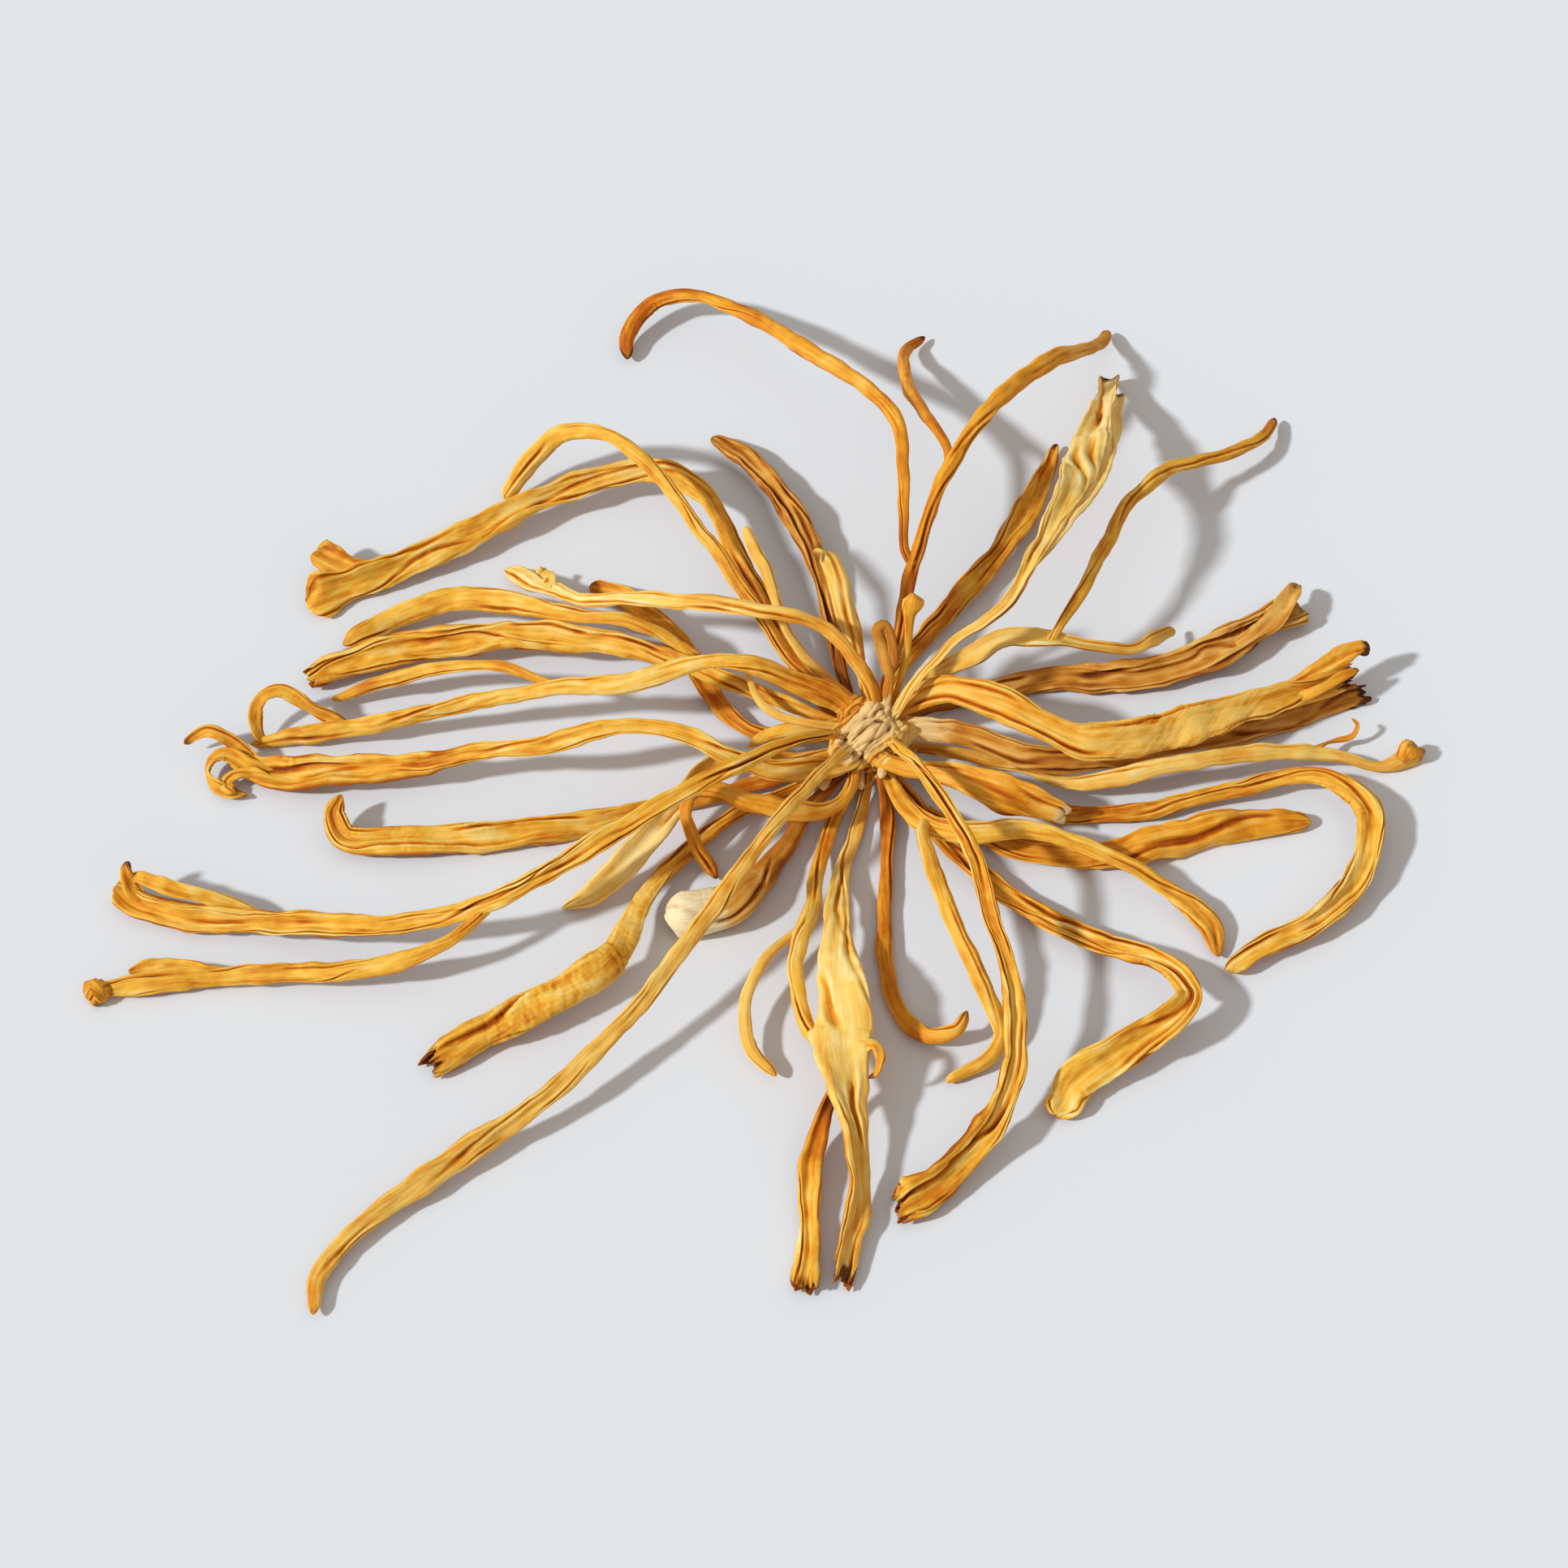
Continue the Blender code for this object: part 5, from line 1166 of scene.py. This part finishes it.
frontRight = {
    "finish": "golden", "seed": 74, "spiral": -0.02, "flat": 0.5, "groove": 0.3, "cup": 0.25, "folds": 8,
    "foldDepth": 0.75,
    "tone": (-0.2, 0.1, 0.3, 0.2, 0, -0.2), "tipBrown": 0.5, "end": "open", "flare": 0.7, "jagged": 1.8,
    "roll": (0, 0, 0.2, 0.4, 0.9, 1.2, 0.8),
    "route": [
        (2.4, -2.4, 6.8, 1.2), (4.2, -6.2, 9.2, 1.4), (7, -11.5, 11.4, 1.8), (11.5, -20.5, 12, 2),
        (14.5, -31, 10.8, 2.2), (16.8, -41, 8.8, 2.6), (17, -49.5, 6, 3.4), (14.5, -56, 3.9, 4.2),
        (10, -61, 2.6, 4.4), (5.5, -65, 1.9, 3.8), (2.5, -67, 1.2, 2)]}
growStem("front_right_stem", frontRight)

frontTwig = {
    "finish": "pale", "seed": 75, "flat": 0.75, "folds": 3, "tone": (0, 0.3, 0.1),
    "tipBrown": 0.3, "buried": (-8.0, -28.8, 3.7, 1.1),
    "route": [
        (-10, -30.3, 4, 1.1), (-13, -34, 4.4, 1.4), (-15, -39.5, 3.4, 1.6), (-14.5, -45, 2.2, 1.7),
        (-11.5, -48.5, 1.2, 1.2)]}
growStem("front_twig_stem", frontTwig)
print("front stems grown")


def ballPart(centre, radii, lobes=()):
    form = bmesh.new()
    bmesh.ops.create_icosphere(form, subdivisions=5, radius=1.0)
    points = np.array([vert.co for vert in form.verts])
    faces = [[vert.index for vert in face.verts] for face in form.faces]
    form.free()
    turn = np.arctan2(points[:, 1], points[:, 0])
    swell = 1 + sum(depth * np.cos(count * turn + phase) for count, depth, phase in lobes)
    points[:, :2] *= np.reshape(swell, (-1, 1)) if lobes else 1
    points = points * radii + np.array(centre)
    return {"points": points, "faces": faces, "marks": {}}


def collarPart(habit):
    # the base's flesh, drawn up round a stem's root
    wide, slim, reach = baseLook["collar"]
    out = leavesBase(habit["route"])
    places = np.linspace(0, out + reach, 24)
    path = onRoute(habit["route"], places)
    turns = along(places / routeReach(habit["route"])[-1], habit["turn"])
    heading, side, face = stemFrames(path[:, :3], places, turns)
    half = path[:, 3] / 2 * (wide + (slim - wide) * ramp(places, out - 0.6, out + reach))
    angle = np.linspace(0, 2 * math.pi, 20, endpoint=False)
    reachX = half[:, None] * np.cos(angle)
    reachY = half[:, None] * np.sin(angle) * habit["flat"]
    points = (path[:, None, :3] + side[:, None] * reachX[..., None] + face[:, None] * reachY[..., None])
    corner = np.arange(24 * 20).reshape(24, 20)
    after = np.roll(corner, -1, 1)
    faces = np.stack((corner[:-1], after[:-1], after[1:], corner[1:]), axis=-1).reshape(-1, 4).tolist()
    faces += [corner[0][::-1].tolist(), corner[-1].tolist()]
    return {"points": points.reshape(-1, 3), "faces": faces, "marks": {}}


def basePart(look):
    parts = [ballPart(look["centre"], look["radii"], look["lobes"])]
    parts += [ballPart(centre, radii) for centre, radii in look["knots"]]
    parts += [collarPart(habit) for habit in rooted.values()]
    rough = joinParts(parts)
    rough["points"][:, 2] = np.maximum(rough["points"][:, 2], 0)
    mesh = bpy.data.meshes.new("rough_base")
    mesh.from_pydata((rough["points"] * mm).tolist(), [], rough["faces"])
    blob = bpy.data.objects.new("rough_base", mesh)
    bpy.context.scene.collection.objects.link(blob)
    remesh = blob.modifiers.new("one skin", "REMESH")
    remesh.mode = "VOXEL"
    remesh.voxel_size = look["voxel"] * mm
    smooth = blob.modifiers.new("flow together", "SMOOTH")
    smooth.factor = 0.5
    smooth.iterations = look["smooth"]
    skin = bpy.data.meshes.new_from_object(blob.evaluated_get(bpy.context.evaluated_depsgraph_get()))
    points = np.zeros(len(skin.vertices) * 3)
    skin.vertices.foreach_get("co", points)
    points = points.reshape(-1, 3) / mm
    normals = np.zeros(len(skin.vertices) * 3)
    skin.vertex_normals.foreach_get("vector", normals)
    faces = [tuple(face.vertices) for face in skin.polygons]
    bpy.data.objects.remove(blob, do_unlink=True)

    run = np.array(look["foldsRun"]) / np.linalg.norm(look["foldsRun"])
    beside = np.cross(run, (0, 0, 1))
    beside /= np.linalg.norm(beside)
    v, w, u = points @ beside, points @ np.cross(run, beside), points @ run
    sway = 0.5 * noise(points[:, 0] / 4, points[:, 1] / 4, points[:, 2] / 4)
    height = np.zeros(len(points))
    for width, length, size in look["folds"]:
        crest = np.abs(noise((v + sway) / width, w / width + 40, u / length))
        height += size * (np.minimum(2.8 * crest, 1) - 0.75)
    size, tall = look["lumps"]
    lump = tall * noise(points[:, 0] / size, points[:, 1] / size, points[:, 2] / size)
    free = ramp(points[:, 2], 0.1, 1.2)
    far = np.linalg.norm((points - look["centre"]) / look["radii"], axis=1)
    edge = ramp(far, 1.05, 1.45)             # towards the collars the skin is smoother
    free = free * (1 - 0.92 * edge)
    points = points + normals.reshape(-1, 3) * ((height + lump) * free)[:, None]
    points[:, 2] = np.maximum(points[:, 2], 0)
    # the base's colour reading: painted shade in the crevices between its folds, paler on the crests, evener and darker
    # towards the collars
    relief = np.clip((1 - 0.7 * edge) * height / 0.34 + 0.6 - 0.3 * edge, -1.3, 1.2)
    marks = {"relief": relief, "ends": np.zeros(len(points)), "felt": feltNear(points),
             "tone": np.full(len(points), 0.25), "grain": np.stack((v, w, u), axis=1)}
    return {"points": points, "faces": faces, "marks": marks}


# Small pale pins that never grew out, low on the front of the base
pins = {
    "finish": "mycelium", "flat": 0.85, "folds": 0, "lumps": 0.3, "tone": (0.3, 0.7, 1.0),
    "tipLength": 0.8, "tipBrown": 0.1, "cup": 0.0, "feltFrom": 100.0, "felt": 1.0,
    "routes": (
        [(-0.6, -3.2, 2.6, 0.8), (-0.8, -5.2, 2.6, 0.9), (-0.9, -6.6, 2.7, 1.2), (-0.9, -7.4, 2.8, 1.1)],
        [(1.2, -3.0, 4.2, 0.8), (1.5, -4.8, 4.4, 0.9), (1.6, -6.0, 4.5, 1.3), (1.6, -6.9, 4.4, 1.2)],
        [(-2.6, -3.2, 3.0, 0.9), (-4.4, -5.0, 3.0, 1.0), (-5.4, -6.8, 3.2, 1.3), (-5.6, -7.8, 3.2, 1.1)]),
}
pinParts = [stemPart({**stemHabit, **pins, "route": route, "seed": 70 + place})
            for place, route in enumerate(pins["routes"])]
makePiece("base", [basePart(baseLook), *pinParts], "mycelium")
print("base made")


# The floor and the light: one soft key lamp from the left and an even, slightly warm fill
studio = {
    "floorColour": (0.80, 0.825, 0.86), "floorSize": 4.0, "floorDrop": 0.02,
    "keyTravels": (0.94, 0.33), "keyHeight": 38.0, "keyStrength": 2.75, "keySize": 4.5,
    "keyColour": (0.92, 0.97, 1.0), "fillStrength": 0.46, "fillColour": (1.0, 0.955, 0.89),
}


def addStudio(studio):
    mesh = bpy.data.meshes.new("floor")
    half = studio["floorSize"] / 2
    low = -studio["floorDrop"] * mm
    mesh.from_pydata([(-half, -half, low), (half, -half, low), (half, half, low), (-half, half, low)], [],
                     [(0, 1, 2, 3)])
    paint = bpy.data.materials.new("pale_floor")
    paint.use_nodes = True
    shader = paint.node_tree.nodes["Principled BSDF"]
    shader.inputs["Base Color"].default_value = (*studio["floorColour"], 1)
    shader.inputs["Roughness"].default_value = 0.85
    shader.inputs["Specular IOR Level"].default_value = 0.2
    mesh.materials.append(paint)
    floor = bpy.data.objects.new("floor", mesh)
    bpy.context.scene.collection.objects.link(floor)

    lamp = bpy.data.lights.new("key", "SUN")
    lamp.energy = studio["keyStrength"]
    lamp.angle = math.radians(studio["keySize"])
    lamp.color = studio["keyColour"]
    key = bpy.data.objects.new("key", lamp)
    fall = math.tan(math.radians(studio["keyHeight"])) * math.hypot(*studio["keyTravels"])
    travels = Vector((*studio["keyTravels"], -fall))
    key.rotation_euler = travels.to_track_quat("-Z", "Y").to_euler()
    bpy.context.scene.collection.objects.link(key)

    world = bpy.data.worlds.new("fill")
    world.use_nodes = True
    sky = world.node_tree.nodes["Background"]
    sky.inputs["Color"].default_value = (*studio["fillColour"], 1)
    sky.inputs["Strength"].default_value = studio["fillStrength"]
    bpy.context.scene.world = world
    bpy.context.scene.view_settings.view_transform = "Standard"


addStudio(studio)
print("studio set")
